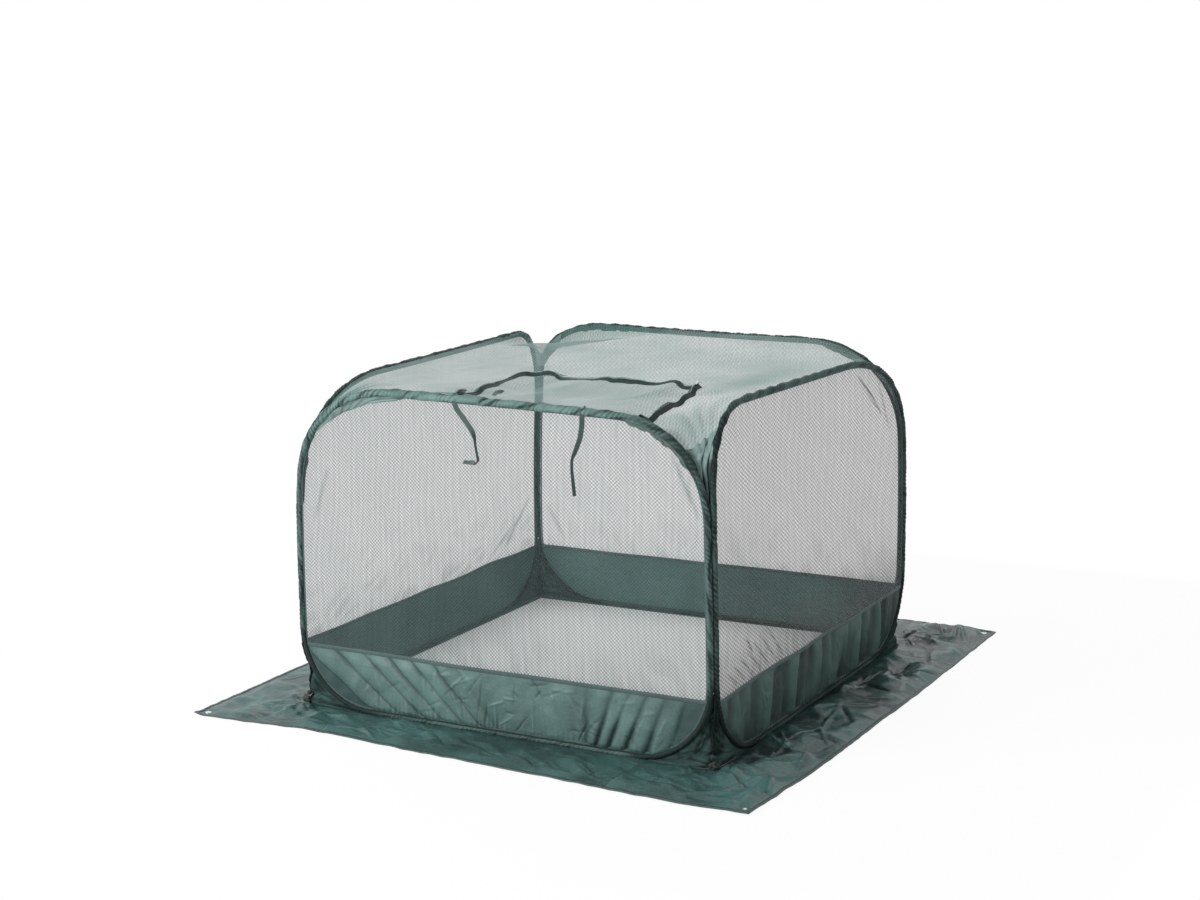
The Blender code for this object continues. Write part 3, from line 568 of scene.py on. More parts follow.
def makeMetalMaterial(name, light, dark, roughness, scale):
    # Plated metal with rubbed and dull patches and fine scratches.
    material, tree, inputs = newMaterial(name, roughness, 1.0)
    spot = put(tree, "ShaderNodeTexCoord").outputs["Object"]
    patches = useGroup(tree, mottleGroup, Vector=spot, Scale=scale)["Mask"]
    feed(tree, inputs["Base Color"], mixColour(tree, patches, (*dark, 1), (*light, 1)))
    feed(tree, inputs["Roughness"], calc(tree, "MULTIPLY_ADD", patches, -0.12, roughness + 0.06))
    addBump(tree, inputs, noise(tree, spot, scale * 20, 2.0), 0.15, 0.0002)
    return material


netCloth = {
    "front": makeNetMaterial("frontNetting", srgb(74, 92, 90), srgb(60, 77, 76), 0.04, 0.60,
                             0.0098, 0.0091, 0.38, 0.02, 0.022),
    "right": makeNetMaterial("rightNetting", srgb(74, 76, 75), srgb(62, 64, 63), 0.15, 0.66,
                             0.0152, 0.0104, 0.42, 0.03, 0.008),
    "back": makeNetMaterial("backNetting", srgb(84, 99, 98), srgb(70, 85, 84), 0.14, 0.38,
                            0.0150, 0.0130, 0.50, 0.03, 0.02),
    "left": makeNetMaterial("leftNetting", srgb(84, 99, 98), srgb(70, 85, 84), 0.18, 0.38,
                            0.0160, 0.0105, 0.50, 0.03, 0.02),
}
netRoof = makeNetMaterial("roofNetting", srgb(80, 119, 113), srgb(66, 103, 98), 0.45, 0.68,
                          0.0090, 0.0240, 0.40, 0.03)
# One band cloth in three copies for the light on each side: the right band's is darker, painted
# shade on the side away from the key lamp, and the back and left bands share the third.
bandCloth = {
    "front": makeClothMaterial("bandClothFront", srgb(98, 127, 123), srgb(48, 71, 69), 0.55,
                               crinkle=0.35, paintedShade=1.0, mottling=0.45, Specular_IOR_Level=0.4),
    "right": makeClothMaterial("bandClothShadedRight", srgb(82, 110, 103), srgb(27, 44, 41), 0.6,
                               crinkle=0.35, paintedShade=1.0, mottling=0.3, Specular_IOR_Level=0.3),
}
bandCloth["back"] = bandCloth["left"] = makeClothMaterial(
    "bandClothInner", srgb(90, 122, 118), srgb(62, 90, 87), 0.65, crinkle=0.3, paintedShade=0.8,
    mottling=0.4, Specular_IOR_Level=0.3)
gussetCloth = makeClothMaterial("gussetCloth", srgb(72, 98, 94), srgb(22, 34, 32), 0.8,
                                paintedShade=1.0, crinkle=1.2, Specular_IOR_Level=0.15)
# A lighter copy of the teal cloth: painted light on the top gussets, which face up.
topGussetLitCloth = makeClothMaterial("topGussetLitCloth", srgb(136, 164, 159), srgb(40, 56, 54), 0.6,
                                   paintedShade=1.0, mottling=0.4, crinkle=0.3, Specular_IOR_Level=0.3)
skirtCloth = makeClothMaterial("coatedSkirt", srgb(67, 102, 99), srgb(24, 42, 41), 0.36,
                               paintedShade=1.0, pitch=0.0014, weave=0.3, crinkle=2.4,
                               Specular_IOR_Level=0.42)
hemCloth = makeClothMaterial("hemTape", srgb(44, 64, 63), srgb(30, 46, 45), 0.45, weave=0.4,
                             stitches=(0.004,), thread=srgb(84, 104, 101))
# One sleeve tape in two copies: the side loops' copy is darker, painted shade.
sleeveCloth = {
    "front": makeClothMaterial("sleeveTapeFront", srgb(112, 141, 135), srgb(28, 43, 41), 0.75,
                               paintedShade=1.25, mottling=0.5, crinkle=0.3, Specular_IOR_Level=0.2),
    "side": makeClothMaterial("sleeveTapeShadedSide", srgb(88, 113, 108), srgb(16, 28, 27), 0.75,
                              paintedShade=1.25, mottling=0.5, crinkle=0.3, Specular_IOR_Level=0.2),
}
seamCloth = makeClothMaterial("seamTape", srgb(66, 88, 86), srgb(44, 62, 60), 0.6, weave=0.5,
                              stitches=(0.003, 0.009), thread=srgb(104, 126, 122))
facingCloth = makeClothMaterial("facingCloth", srgb(112, 141, 135), srgb(58, 78, 75), 0.6,
                                paintedShade=1.0, Sheen_Weight=0.2)
ribbonCloth = makeClothMaterial("tieRibbon", srgb(66, 88, 84), srgb(46, 65, 62), 0.55,
                                pitch=0.0008, weave=0.6, Sheen_Weight=0.2)
zipTapeCloth = makeClothMaterial("zipTape", srgb(42, 60, 57), srgb(19, 30, 29), 0.7, weave=0.5,
                                 pitch=0.0009, Specular_IOR_Level=0.2)
knotCloth = makePlainCloth("knotCloth", srgb(40, 56, 53), srgb(16, 25, 23), 0.8)
zipTeeth = makeClothMaterial("zipTeeth", srgb(128, 148, 144), srgb(100, 122, 118), 0.35, weave=0.1)
eyeletMetal = makeMetalMaterial("eyeletMetal", (0.80, 0.81, 0.82), (0.55, 0.57, 0.58), 0.26, 220)
zipMetal = makeMetalMaterial("zipMetal", (0.52, 0.53, 0.55), (0.34, 0.35, 0.37), 0.32, 300)
springSteel = makeMetalMaterial("springSteel", (0.42, 0.43, 0.45), (0.30, 0.31, 0.33), 0.34, 40)
print("materials made")


# Spring loops in their sleeves

sleeveSizes = {"radius": 0.0072, "stations": 1500, "around": 18, "twist": 0.095, "gather": 0.0135,
               "depth": 0.0020, "wire": 0.0015, "flange": 0.0050, "tied": 0.66,
               "loose": {"front": 0.36, "right": 0.12, "back": 0.12, "left": 0.18},
               "shade": {"front": 0, "right": 0.10, "back": 0.22, "left": 0.34}}


def twistAt(turn, travel, seed, ribbed):
    # How deep the folds of a sleeve are, 0 on a ridge and 1 in a valley: long ones that twist
    # slowly round it, and short slanting gathers, which are strongest on the tight side loops.
    drift, stray = ripple(travel, 0.16, seed, 5), waves(travel, turn * 0.03, 0.07, seed + 3, 5)
    long = 2 * math.tau * turn - math.tau * travel / sleeveSizes["twist"] + 2.4 * drift
    short = 3 * math.tau * turn - math.tau * travel / sleeveSizes["gather"] + 2.4 * stray
    strength = 0.35 + 0.65 * ease(0.5 + 0.8 * ripple(travel, 0.13, seed + 5, 5))
    valley = (1 - ribbed) * (0.25 + 0.75 * strength) * (0.5 - 0.5 * np.sin(long)) ** 3
    return valley + (0.25 + 0.75 * ribbed) * strength * (0.5 - 0.5 * np.sin(short)) ** 2


def sleevePaintedShade(wall, along, z):
    # Painted shade: sleeves are darker low down, on the posts, near one upper corner and, more for
    # some walls, along the top.
    side = ease((np.abs(along) - 0.46) / 0.10)
    low = ease((0.24 - z) / 0.12) * ease((np.abs(along) - 0.33) / 0.12)
    tone = 0.26 * side + 0.72 * low + 0.24 * ease((0.03 - z) / 0.01)
    tone = tone + sleeveSizes["shade"][wall] * ease((z - 0.6) / 0.1)
    corner = np.hypot(along - (0.53 if wall == "front" else -0.55), z - 0.75)
    return tone + 0.35 * np.exp(-(corner / 0.09) ** 2)


for number, wall in enumerate(wallNames):
    sizes, seed = sleeveSizes, number * 10
    along, z, around = loopPath(wall, sizes["stations"])
    line = onWall(wall, along, z, 0.0)
    inwardNow = -np.array(outward[wall], float)
    stations = np.arange(sizes["stations"]) * around / sizes["stations"]
    tied = pinched.get(wall, 0)
    slim = 1 - (1 - sizes["tied"]) * abs(tied) * ease((along * tied - 0.545) / 0.035)
    slim = slim + sizes["loose"][wall] * ease((z - 0.62) / 0.14)
    paintedShadeNow, ribbedNow = sleevePaintedShade(wall, along, z), 0.35 if wall == "front" else 0.55
    footNow, slackNow = ease((0.06 - z) / 0.04), 0.03 + 0.10 * ease((z - 0.5) / 0.2)

    def tube(turn, travel):
        depth = sizes["depth"] * twistAt(turn, travel, seed, ribbedNow)
        uneven = 1 + np.interp(travel, stations, slackNow) * ripple(travel, 0.045, seed + 7, 5)
        radius = (sizes["radius"] + 0.0004) * np.interp(travel, stations, slim) * uneven - depth
        return ring(turn, radius)

    def tubePaintedShade(turn, travel):
        # Painted shade: darker in the folds' valleys and where sleevePaintedShade says, with two
        # dark lines along the foot runs.
        foot = np.interp(travel, stations, footNow)
        folds = (0.75 if wall == "front" else 0.60) * twistAt(turn, travel, seed, ribbedNow) - 0.10
        piped = sum(np.exp(-((turn - at) / 0.045) ** 2) for at in (0.93, 0.57))
        return folds * (1 - 0.7 * foot) + foot * piped + np.interp(travel, stations, paintedShadeNow)

    cloth = sleeveCloth["front" if wall == "front" else "side"]
    sleeve = sweep(f"loop_sleeve_{wall}", line, inwardNow, tube, sizes["around"], cloth,
                   closed=True, coverAndShade=tubePaintedShade)
    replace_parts(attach(sleeve, f"{wall}_wall"), f"sleeve_{wall}")

    along, z, _ = loopPath(wall, 260)
    spring = sweep(f"loop_spring_{wall}", onWall(wall, along, z, 0.0), inwardNow,
                   lambda turn, travel: ring(turn, sizes["wire"]), 8, springSteel, closed=True)
    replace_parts(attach(spring, f"{wall}_wall"), f"spring_loop_{wall}")

    along, z, _ = loopPath(wall, 520, sizes["radius"] + sizes["flange"] / 2 - 0.0012)
    flange = sweep(f"sleeve_seam_{wall}", onWall(wall, along, z, 0.0), inwardNow,
                   flatSection(sizes["flange"], 0.0018, 0.0003, 0.012), 10, seamCloth, closed=True)
    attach(flange, f"{wall}_wall")
print("loops and sleeves made")


# Wall nets, foot bands and the seam tape between them

def seamDepth(wall, along):
    # How far the seam between net and band strays from the wall plane, inward.
    stray = 0.003 * ripple(along, 0.32, wallSeed(300, wall, 1), 4)
    return stray * ease((postLine - np.abs(along)) / 0.08)


def seamHeight(wall, along):
    return bandTop - 0.006 + 0.0022 * ripple(along, 0.4, wallSeed(320, wall, 1), 4)


netSizes = {"columns": 168, "rows": 96, "wrinkle": 0.0022, "bow": 0.006}
# How strong each net's low facets are, how much they and the foot of the net cover, and how
# fine its mesh is
netLook = {"front": dict(ruck=0.45, ridge=0.10, low=0.03, finer=1),
           "right": dict(ruck=0.8, ridge=0.10, low=0.20, finer=2.3),
           "back": dict(ruck=0.5, ridge=0.1, low=0.03, finer=1),
           "left": dict(ruck=0.6, ridge=0.14, low=0.06, finer=1)}
# The right net is drawn up in short creases over the band and in one by its far upper corner
netCreases = {
    "right": [(-0.475 + 0.044 * k, 0.176, -0.530 + 0.036 * k, 0.215 + 0.011 * k, 0.0028, 0.0042)
              for k in range(7)]
    + [(-0.387, 0.228, -0.425, 0.280, 0.004, 0.005), (0.269, 0.811, 0.442, 0.679, 0.0045, 0.0065),
       (0.40, 0.80, 0.50, 0.62, 0.006, 0.003)],
    "front": [(-0.545, 0.50, -0.50, 0.64, 0.006, 0.003), (0.50, 0.745, 0.565, 0.60, 0.006, 0.004)],
    "back": [(-0.5, 0.19, -0.56, 0.30, 0.006, 0.003)],
    "left": [(0.40, 0.19, 0.55, 0.33, 0.006, 0.004), (0.32, 0.18, 0.47, 0.27, 0.006, 0.003)]}


def netFolds(wall, along, z):
    # The upright folds under a net's top run, and the facets above its band.
    seed = wallSeed(400, wall)
    upright = np.sin(math.tau * along / 0.045 + 2.5 * waves(along, z, 0.25, seed + 4))
    return upright, facets(along, z, 0.085, seed + 6, 3)


def netPull(wall, along, z):
    # Soft tension folds: fans from the corners, upright ones under the top run, low creases.
    w, seed = loops[wall], wallSeed(400, wall)
    size = netSizes["wrinkle"]
    upright, ruck = netFolds(wall, along, z)
    total = 0.8 * size * waves(along, z, 0.26, seed, 6)
    for side, (reach, drop) in enumerate(zip(w["reach"], w["drop"])):
        sign = -1 if side == 0 else 1
        cornerA, cornerZ = sign * (postLine - reach * 0.18), w["top"][side] - drop * 0.25
        away = np.hypot(along - cornerA, z - cornerZ)
        angle = np.arctan2(z - cornerZ, along - cornerA)
        fan = np.sin(15 * angle + 2 * waves(along, z, 0.3, seed + side))
        total += size * fan * np.exp(-away / 0.16)
    total += 0.5 * size * upright * np.exp(-(topLine(wall, along) - z) / 0.05)
    total += netLook[wall]["ruck"] * size * ruck * np.exp(-(z - bandTop) / 0.14)
    return total - creases(along, z, netCreases[wall])


def netDense(wall, along, z):
    # Folds, seams and gathers hold more thread for each spot that is seen; the extra cover low
    # down is partly gathered net and partly painted shade.
    look = netLook[wall]
    down, side, low = topLine(wall, along) - z, postLine - np.abs(along), z - bandTop
    upright, ruck = netFolds(wall, along, z)
    total = look["ridge"] * ease(np.abs(ruck) * 1.2 - 0.35) * np.exp(-low / 0.12)
    total += 0.07 * ease(0.5 + 0.5 * upright) * np.exp(-down / 0.05)
    total += 70 * creases(along, z, netCreases[wall])
    total += look["low"] * ease((0.34 - z) / 0.16)
    return total + 0.10 * np.exp(-np.minimum(np.minimum(down, side), low) / 0.010)


for wall in wallNames:
    sizes, finer = netSizes, netLook[wall]["finer"]

    def pattern(u, v):
        along = -postLine * np.cos(math.pi * u) * 0.99985
        low, high = seamHeight(wall, along) - 0.004, topLine(wall, along) - 0.001
        return along, low + (high - low) * v

    def place(along, z):
        hold = ease(np.minimum(topLine(wall, along) - z, postLine - np.abs(along)) / 0.05)
        seam = np.exp(-(z - bandTop) / 0.10)
        depth = hold * (netPull(wall, along, z) * (1 - 0.7 * seam)
                        + sizes["bow"] * np.sin(math.pi * np.clip((z - bandTop) / 0.65, 0, 1)))
        return onWall(wall, along, z, depth + seamDepth(wall, along) * seam)

    cells = startGrid(int(sizes["columns"] * finer), int(sizes["rows"] * finer))
    net = shapeSheet(f"wall_net_{wall}", cells, pattern, place, outward[wall], netCloth[wall],
                     coverAndShade=lambda along, z: netDense(wall, along, z))
    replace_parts(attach(net, f"{wall}_wall"), f"net_{wall}")
print("wall nets made")


def pleats(t, sharp):
    # Pillowed cloth between drawn-in lines, which come at each whole number.
    away = np.abs(t - np.round(t))
    return np.abs(np.sin(math.pi * t)) ** 0.6 - 0.6 * np.exp(-(away / sharp) ** 2)


bandSizes = {"columns": 420, "rows": 72, "thickness": 0.0012, "fold": 0.0060, "gather": 0.015}
# Drawn-in lines of the front band at its two ends: each one's place at the top and at the foot
frontLines = (((-0.60, -0.40), (-0.495, -0.310), (-0.404, -0.233), (-0.326, -0.172),
               (-0.257, -0.111), (-0.189, -0.058), (-0.12, -0.01)),
              ((0.205, 0.215), (0.258, 0.253), (0.334, 0.285), (0.377, 0.319),
               (0.425, 0.365), (0.475, 0.422), (0.53, 0.48)))
# How strong each band's folds, broad rolls and crumples are, and dark, how much painted shade
# fills the valleys of its rolls.
bandLook = {"front": dict(folds=0.20, rolls=0.0, crumple=0.20, dark=0.14),
            "right": dict(folds=1.25, rolls=0.085, crumple=0.12, dark=0.62),
            "back": dict(folds=0.40, rolls=0.120, crumple=0.25, dark=0.25),
            "left": dict(folds=0.40, rolls=0.110, crumple=0.20, dark=0.25)}
bandCreases = {
    "front": (scatter(531, 40, (-0.16, 0.03), (0.26, 0.15), 0.02, 0.085, 0.0024, 0.0030)
              + scatter(532, 16, (-0.40, 0.03), (-0.12, 0.14), 0.02, 0.06, 0.0034, 0.0018)
              + scatter(533, 14, (0.26, 0.04), (0.52, 0.14), 0.02, 0.05, 0.0034, 0.0018)),
    "right": scatter(534, 26, (-0.50, 0.03), (0.52, 0.15), 0.02, 0.07, 0.0034, 0.0018)}


def betweenLines(along, z, lines):
    # Counts the drawn-in lines passed on the way along; halfway between two is a half.
    down = np.clip((0.165 - z) / 0.141, 0, 1.1)
    at = [top + (foot - top) * down for top, foot in lines]
    return sum(np.clip((along - low) / np.maximum(high - low, 0.004), 0, 1)
               for low, high in zip(at, at[1:]))


def bandRolls(wall, along, z):
    # Broad upright folds of uneven width, -1 to 1.
    size, seed = bandLook[wall]["rolls"] or 0.09, wallSeed(500, wall)
    rolls = waves(along + 0.14 * (bandTop - z), 0.16 * z, size, seed, 6)
    return np.clip(rolls + 0.22 * waves(along, 0.3 * z, size * 0.4, seed + 1, 5), -1.6, 1.6) / 1.3


def bandEnds(along, z):
    left, right = (betweenLines(along, z, lines) for lines in frontLines)
    down = (0.165 - z) / 0.141
    onLeft = ease((-0.10 + 0.12 * down - along) / 0.09)
    onRight = ease((along - 0.215) / 0.05) * (0.45 + 0.55 * ease(down * 1.4))
    strong = 0.45 + 0.55 * ease(0.6 + 0.6 * waves(along, z, 0.14, 507, 4))
    return left, right, onLeft * strong, onRight * strong


def bandGather(wall, along, z):
    stray = waves(along, z, 0.10, wallSeed(500, wall) + 3)
    return np.sin(math.tau * along / bandSizes["gather"] + 2.6 * stray)


def bandFold(wall, along, z):
    # How far the cloth lies inward: folds at the ends, crumples, gathers along the foot.
    look, size, seed = bandLook[wall], bandSizes["fold"], wallSeed(500, wall)
    out = look["folds"] * size * bandRolls(wall, along, z)
    if wall == "front":
        left, right, onLeft, onRight = bandEnds(along, z)
        out = out + size * pleats(left, 0.08) * onLeft + 1.1 * size * pleats(right, 0.16) * onRight
    broken = facets(along, z, 0.090, seed + 2, 4) + 0.6 * facets(along, z, 0.036, seed + 4, 4)
    out = out + look["crumple"] * size * 0.8 * broken
    if wall in bandCreases:
        out = out + creases(along, z, bandCreases[wall])
    gather, pulled = bandGather(wall, along, z), ease(0.5 + 0.8 * ripple(along, 0.12, seed + 8, 4))
    out = out + 0.0024 * gather * pulled * np.exp(-(z - footRun) / 0.020)
    out = out + 0.0010 * gather * pulled * np.exp(-np.clip(bandTop - z, 0, None) / 0.016)
    return -out


def bandPaintedShade(wall, along, z):
    # Painted shade in the drawn-in lines, the folds' valleys, along the foot and toward the ends,
    # painted highlights on raised creases, and a little uneven tone.
    total = bandLook[wall]["dark"] * ease(0.45 - 0.6 * bandRolls(wall, along, z))
    if wall == "front":
        left, right, onLeft, onRight = bandEnds(along, z)
        for t, sharp, much, on in ((left, 0.05, 0.80, onLeft), (right, 0.15, 0.70, onRight)):
            away = np.abs(t - np.round(t))
            line = np.exp(-(away / sharp) ** 2) + 0.3 * np.exp(-(away / 0.3) ** 2)
            total = total + much * line * on
    if wall in bandCreases:
        total = total - 130 * creases(along, z, bandCreases[wall])
    total = total + 0.35 * ease(-bandGather(wall, along, z)) * np.exp(-(z - footRun) / 0.014)
    ends = np.where((along > 0) & (wall == "front"), 0.05, 0.28)
    total = total + ends * ease((np.abs(along) - 0.34) / 0.22)
    return (total + 0.25 * np.exp(-(z - footRun) / 0.010)
            + 0.06 * waves(along, z, 0.2, wallSeed(500, wall) + 12, 5))


def bandDepth(wall, along, z):
    down = (footBend + footRun - z) / footBend
    edge = postLine - footBend + footBend * np.sqrt(np.clip(1 - down ** 2, 0, 1))
    hold = ease(np.minimum(edge - np.abs(along), (z - footRun) * 1.6) / 0.030)
    folds = (0.15 + 0.85 * ease((bandTop - 0.004 - z) / 0.030)) * bandFold(wall, along, z)
    sag = -0.004 * np.sin(math.pi * np.clip(z / bandTop, 0, 1))
    return hold * (folds + sag) + ease((z - 0.06) / 0.10) * seamDepth(wall, along)


for wall in wallNames:
    sizes = bandSizes

    def pattern(u, v):
        turn = 0.02 + v * (math.acos((footRun + footBend - bandTop + 0.004) / footBend) - 0.02)
        z = footRun + footBend * (1 - np.cos(turn))
        along = (postLine - footBend + footBend * np.sin(turn)) * (2 * u - 1)
        rise = (seamHeight(wall, along) - bandTop + 0.006) * ease(v)
        return along, z + rise

    band = shapeSheet(f"foot_band_{wall}", startGrid(sizes["columns"], sizes["rows"]), pattern,
                      lambda along, z: onWall(wall, along, z, bandDepth(wall, along, z)),
                      outward[wall], bandCloth[wall], thickness=sizes["thickness"],
                      coverAndShade=lambda along, z: bandPaintedShade(wall, along, z))
    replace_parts(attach(band, f"{wall}_wall"), f"band_{wall}")

    along = np.linspace(-0.584, 0.584, 320)
    z = seamHeight(wall, along)
    line = onWall(wall, along, z, seamDepth(wall, along) + 0.15 * bandFold(wall, along, z)
                  * ease((postLine - np.abs(along)) / 0.03) - 0.0006)
    tape = sweep(f"band_seam_{wall}", line, -np.array(outward[wall], float),
                 flatSection(0.0105, 0.0030, 0.0004, 0.013), 14, seamCloth)
    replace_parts(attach(tape, f"{wall}_wall"), f"seam_tape_{wall}")
print("foot bands made")


# Corners: where each is, its two walls, and the way round from the first wall to the second

corners = {
    "front_right": dict(signs=(1, -1), walls=("front", "right"), way=(1, 1)),
    "back_right": dict(signs=(1, 1), walls=("right", "back"), way=(-1, 1)),
    "front_left": dict(signs=(-1, -1), walls=("front", "left"), way=(-1, 1)),
    "back_left": dict(signs=(-1, 1), walls=("back", "left"), way=(-1, -1)),
}


def wallEnd(wall, corner):
    # 0 where the corner is at a wall's left end, 1 at its right end.
    sx, sy = corners[corner]["signs"]
    return int((sx if wall in ("front", "back") else sy) > 0)


def cornerParts(corner):
    # A corner's cloth is one piece, or at the open corner two: the wall that alone carries it,
    # the end of its name, and where it starts and ends on the way round.
    if corner != "back_left":
        return [(None, "", 0.0, 1.0)]
    first, second = corners[corner]["walls"]
    return [(first, f"_{first}", 0.0, 0.5), (second, f"_{second}", 0.5, 1.0)]


def cornerPattern(start, end, low, high):
    # A grid's cut shape: start to end round the corner, low to high down it or up.
    return lambda u, v: (start + u * (end - start), low + v * (high - low))


def carryCorner(piece, corner, wall, spread):
    # A wall carries a part of the open corner; any other piece stays where it is made, its place
    # baked into its mesh.
    if wall:
        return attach(piece, f"{wall}_wall")
    sx, sy = corners[corner]["signs"]
    wx, wy = corners[corner]["way"]
    first, second = (f"{w}_wall" for w in corners[corner]["walls"])
    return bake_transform(piece)


# Ground skirt

skirtSizes = {"thickness": 0.0015, "hem": 0.009, "hemThick": 0.0030, "rest": 0.0020,
              "roll": 0.0040, "crumple": 0.0060, "spread": 0.18}
# How far the laid edge strays outward from its cut size: places along each side and shares
skirtStray = {"front": ((-0.80, -0.48, 0.0, 0.42, 0.80), (-0.02, -0.12, -0.02, 0.10, 0.12)),
              "right": ((-0.80, -0.40, 0.10, 0.60, 0.80), (-0.05, 0.04, 0.09, 0.10, 0.08)),
              "back": ((-0.80, 0.0, 0.80), (0.0, 0.03, -0.04)),
              "left": ((-0.80, -0.45, 0.30, 0.80), (-0.01, 0.07, 0.02, 0.0))}
skirtCreases = (scatter(561, 44, (0.64, -0.76), (0.77, 0.74), 0.06, 0.20, 0.0050, 0.0095)
                + scatter(562, 46, (-0.70, -0.77), (0.66, -0.63), 0.05, 0.17, 0.0050, 0.0038, 1.4)
                + scatter(563, 12, (0.05, -0.77), (0.62, -0.63), 0.03, 0.08, 0.0045, 0.0032)
                + scatter(564, 18, (-0.78, -0.74), (-0.64, 0.70), 0.05, 0.14, 0.0060, 0.0026)
                + [(-0.575, -0.625, -0.600, -0.760, 0.013, 0.0070),
                   (-0.532, -0.620, -0.550, -0.760, 0.012, -0.0040),
                   (-0.485, -0.620, -0.500, -0.755, 0.014, 0.0060),
                   (-0.410, -0.620, -0.420, -0.740, 0.014, 0.0035)]
                + scatter(565, 18, (-0.70, 0.64), (0.74, 0.77), 0.05, 0.14, 0.0060, 0.0026))
eyelets = {name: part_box(f"eyelet_{name}") for name in corners}
eyeletAt = {name: ((low + high) / 2)[:2] for name, (low, high) in eyelets.items()}


def skirtOut(x, y):
    # Distance out from the wall planes.
    return np.maximum(np.maximum(np.abs(x), np.abs(y)) - half, 0)


def skirtFacets(x, y):
    return facets(x, y, 0.135, 620, 4)


def skirtRise(x, y):
    out, right = skirtOut(x, y) / skirtWidth, ease((x - 0.45) / 0.2)
    sizes = skirtSizes
    roll = sizes["roll"] * np.abs(waves(x, y, 0.30, 611, 6)) * (0.3 + 0.7 * out)
    stiff = 0.70 + 1.25 * right + 0.10 * ease((-x - 0.5) / 0.2)
    small = (0.50 - 0.30 * right) * facets(x, y, 0.052, 640, 4)
    rise = roll + sizes["crumple"] * stiff * (0.75 + 0.75 * skirtFacets(x, y) + small)
    rise = np.clip(rise + 0.0012 + creases(x, y, skirtCreases), 0, None)
    rise = rise * ease(out * 5) * (1 - 0.85 * ease((out - 0.76) / 0.24))
    for ex, ey in eyeletAt.values():
        rise = rise * (1 - np.exp(-((x - ex) ** 2 + (y - ey) ** 2) / 0.018 ** 2))
    # Cloth drawn in at the four feet: ridges that run out from each, deepest close to it
    away = np.hypot(np.abs(x) - half, np.abs(y) - half)
    angle = np.arctan2(np.abs(y) - half, np.abs(x) - half)
    turn = angle * 3.2 + 0.9 * waves(x, y, 0.16, 655)
    ridge = np.abs(np.sin(turn)) ** 0.8 + 0.4 * np.abs(np.sin(2.3 * turn + 1))
    rise += 0.0065 * ridge * np.exp(-((away - 0.045) / 0.060) ** 2) * ease(out * 7)
    along = np.where(np.abs(x) > np.abs(y), y, x)
    edge = np.abs(np.sin(math.tau * along / 0.19 + 2 * waves(x, y, 0.4, 670)))
    rise += 0.0012 * edge * ease((out - 0.75) / 0.25)
    # The front left tip curls up
    tip = np.hypot(x + 0.805, y + 0.805)
    return sizes["rest"] + rise + 0.004 * np.exp(-(tip / 0.018) ** 2)


# Painted reflection: where the skirt is lightened for the sheen of its coating: middle, half
# widths and how much
skirtPaintedSheen = [(0.71, -0.70, 0.13, 0.13, 0.45), (-0.62, -0.70, 0.20, 0.12, 0.22)]


def skirtShade(x, y):
    # Painted shade in the folds' valleys and sunken creases, most on the right away from the key
    # lamp and close to the loops; skirtPaintedSheen is a painted reflection.
    right = ease((x - 0.45) / 0.2) * ease((y + 0.62) / 0.16)
    near = ease(1 - skirtOut(x, y) / (0.7 * skirtWidth))
    valley = ease(0.55 - 0.8 * skirtFacets(x, y))
    dark = (0.10 + 0.40 * right) * valley + 0.30 * right * near - 45 * creases(x, y, skirtCreases)
    return np.clip(dark, 0, 1) - patches(x, y, skirtPaintedSheen)


def skirtPoint(x, y):
    # Ground skirt: the cloth lies flat with low rucks, and its edge wanders.
    out = skirtOut(x, y) / skirtWidth
    wander = 0.0035 * waves(x, y, 0.5, 660, 5) - 0.002
    strayX = np.where(x > 0, *(np.interp(y, *skirtStray[side]) for side in ("right", "left")))
    strayY = np.where(y > 0, *(np.interp(x, *skirtStray[side]) for side in ("back", "front")))
    outX, outY = np.clip(np.abs(x) - half, 0, None), np.clip(np.abs(y) - half, 0, None)
    px = x + np.sign(x) * outX * (strayX + wander / skirtWidth)
    py = y + np.sign(y) * outY * (strayY + wander / skirtWidth)
    return np.stack([px, py, skirtRise(x, y)], -1)


def hemAlong(name, x, y):
    line = skirtPoint(x, y)
    line[:, 2] += 0.0002
    section = flatSection(skirtSizes["hem"], skirtSizes["hemThick"], 0.0003, 0.022)
    return sweep(name, line, (0, 0, 1), section, 12, hemCloth)


for wall in wallNames:
    def pattern(u, v):
        return (2 * u - 1) * skirtSeam, v * (skirtWidth + skirtTuck) - skirtTuck

    strip = shapeSheet(f"ground_skirt_{wall}", startGrid(240, 62), pattern,
                       lambda along, out: skirtPoint(*beside(wall, along, out)), (0, 0, 1),
                       skirtCloth, thickness=skirtSizes["thickness"],
                       coverAndShade=lambda along, out: skirtShade(*beside(wall, along, out)))
    along = np.linspace(-skirtSeam, skirtSeam, 200)
    hem = hemAlong(f"skirt_hem_{wall}", *beside(wall, along, skirtWidth - skirtSizes["hem"] / 2))
    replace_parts(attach(strip, f"{wall}_wall"), f"skirt_{wall}")
    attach(hem, f"{wall}_wall")


def cutAlong(bm, point, across, clear=False, near=None):
    # Cuts a flat pattern along a line, near a spot or everywhere; clear removes the side that
    # across points to.
    faces = [f for f in bm.faces
             if near is None or (f.calc_center_median().xy - near[0]).length < near[1]]
    edges, verts = {e for f in faces for e in f.edges}, {v for f in faces for v in f.verts}
    geom = faces + list(edges) + list(verts)
    bmesh.ops.bisect_plane(bm, geom=geom, dist=1e-7, plane_co=(*point, 0), plane_no=(*across, 0),
                           clear_outer=clear, clear_inner=False)


def dropFaces(bm, inside):
    doomed = [f for f in bm.faces if inside(*f.calc_center_median().xy)]
    bmesh.ops.delete(bm, geom=doomed, context="FACES")


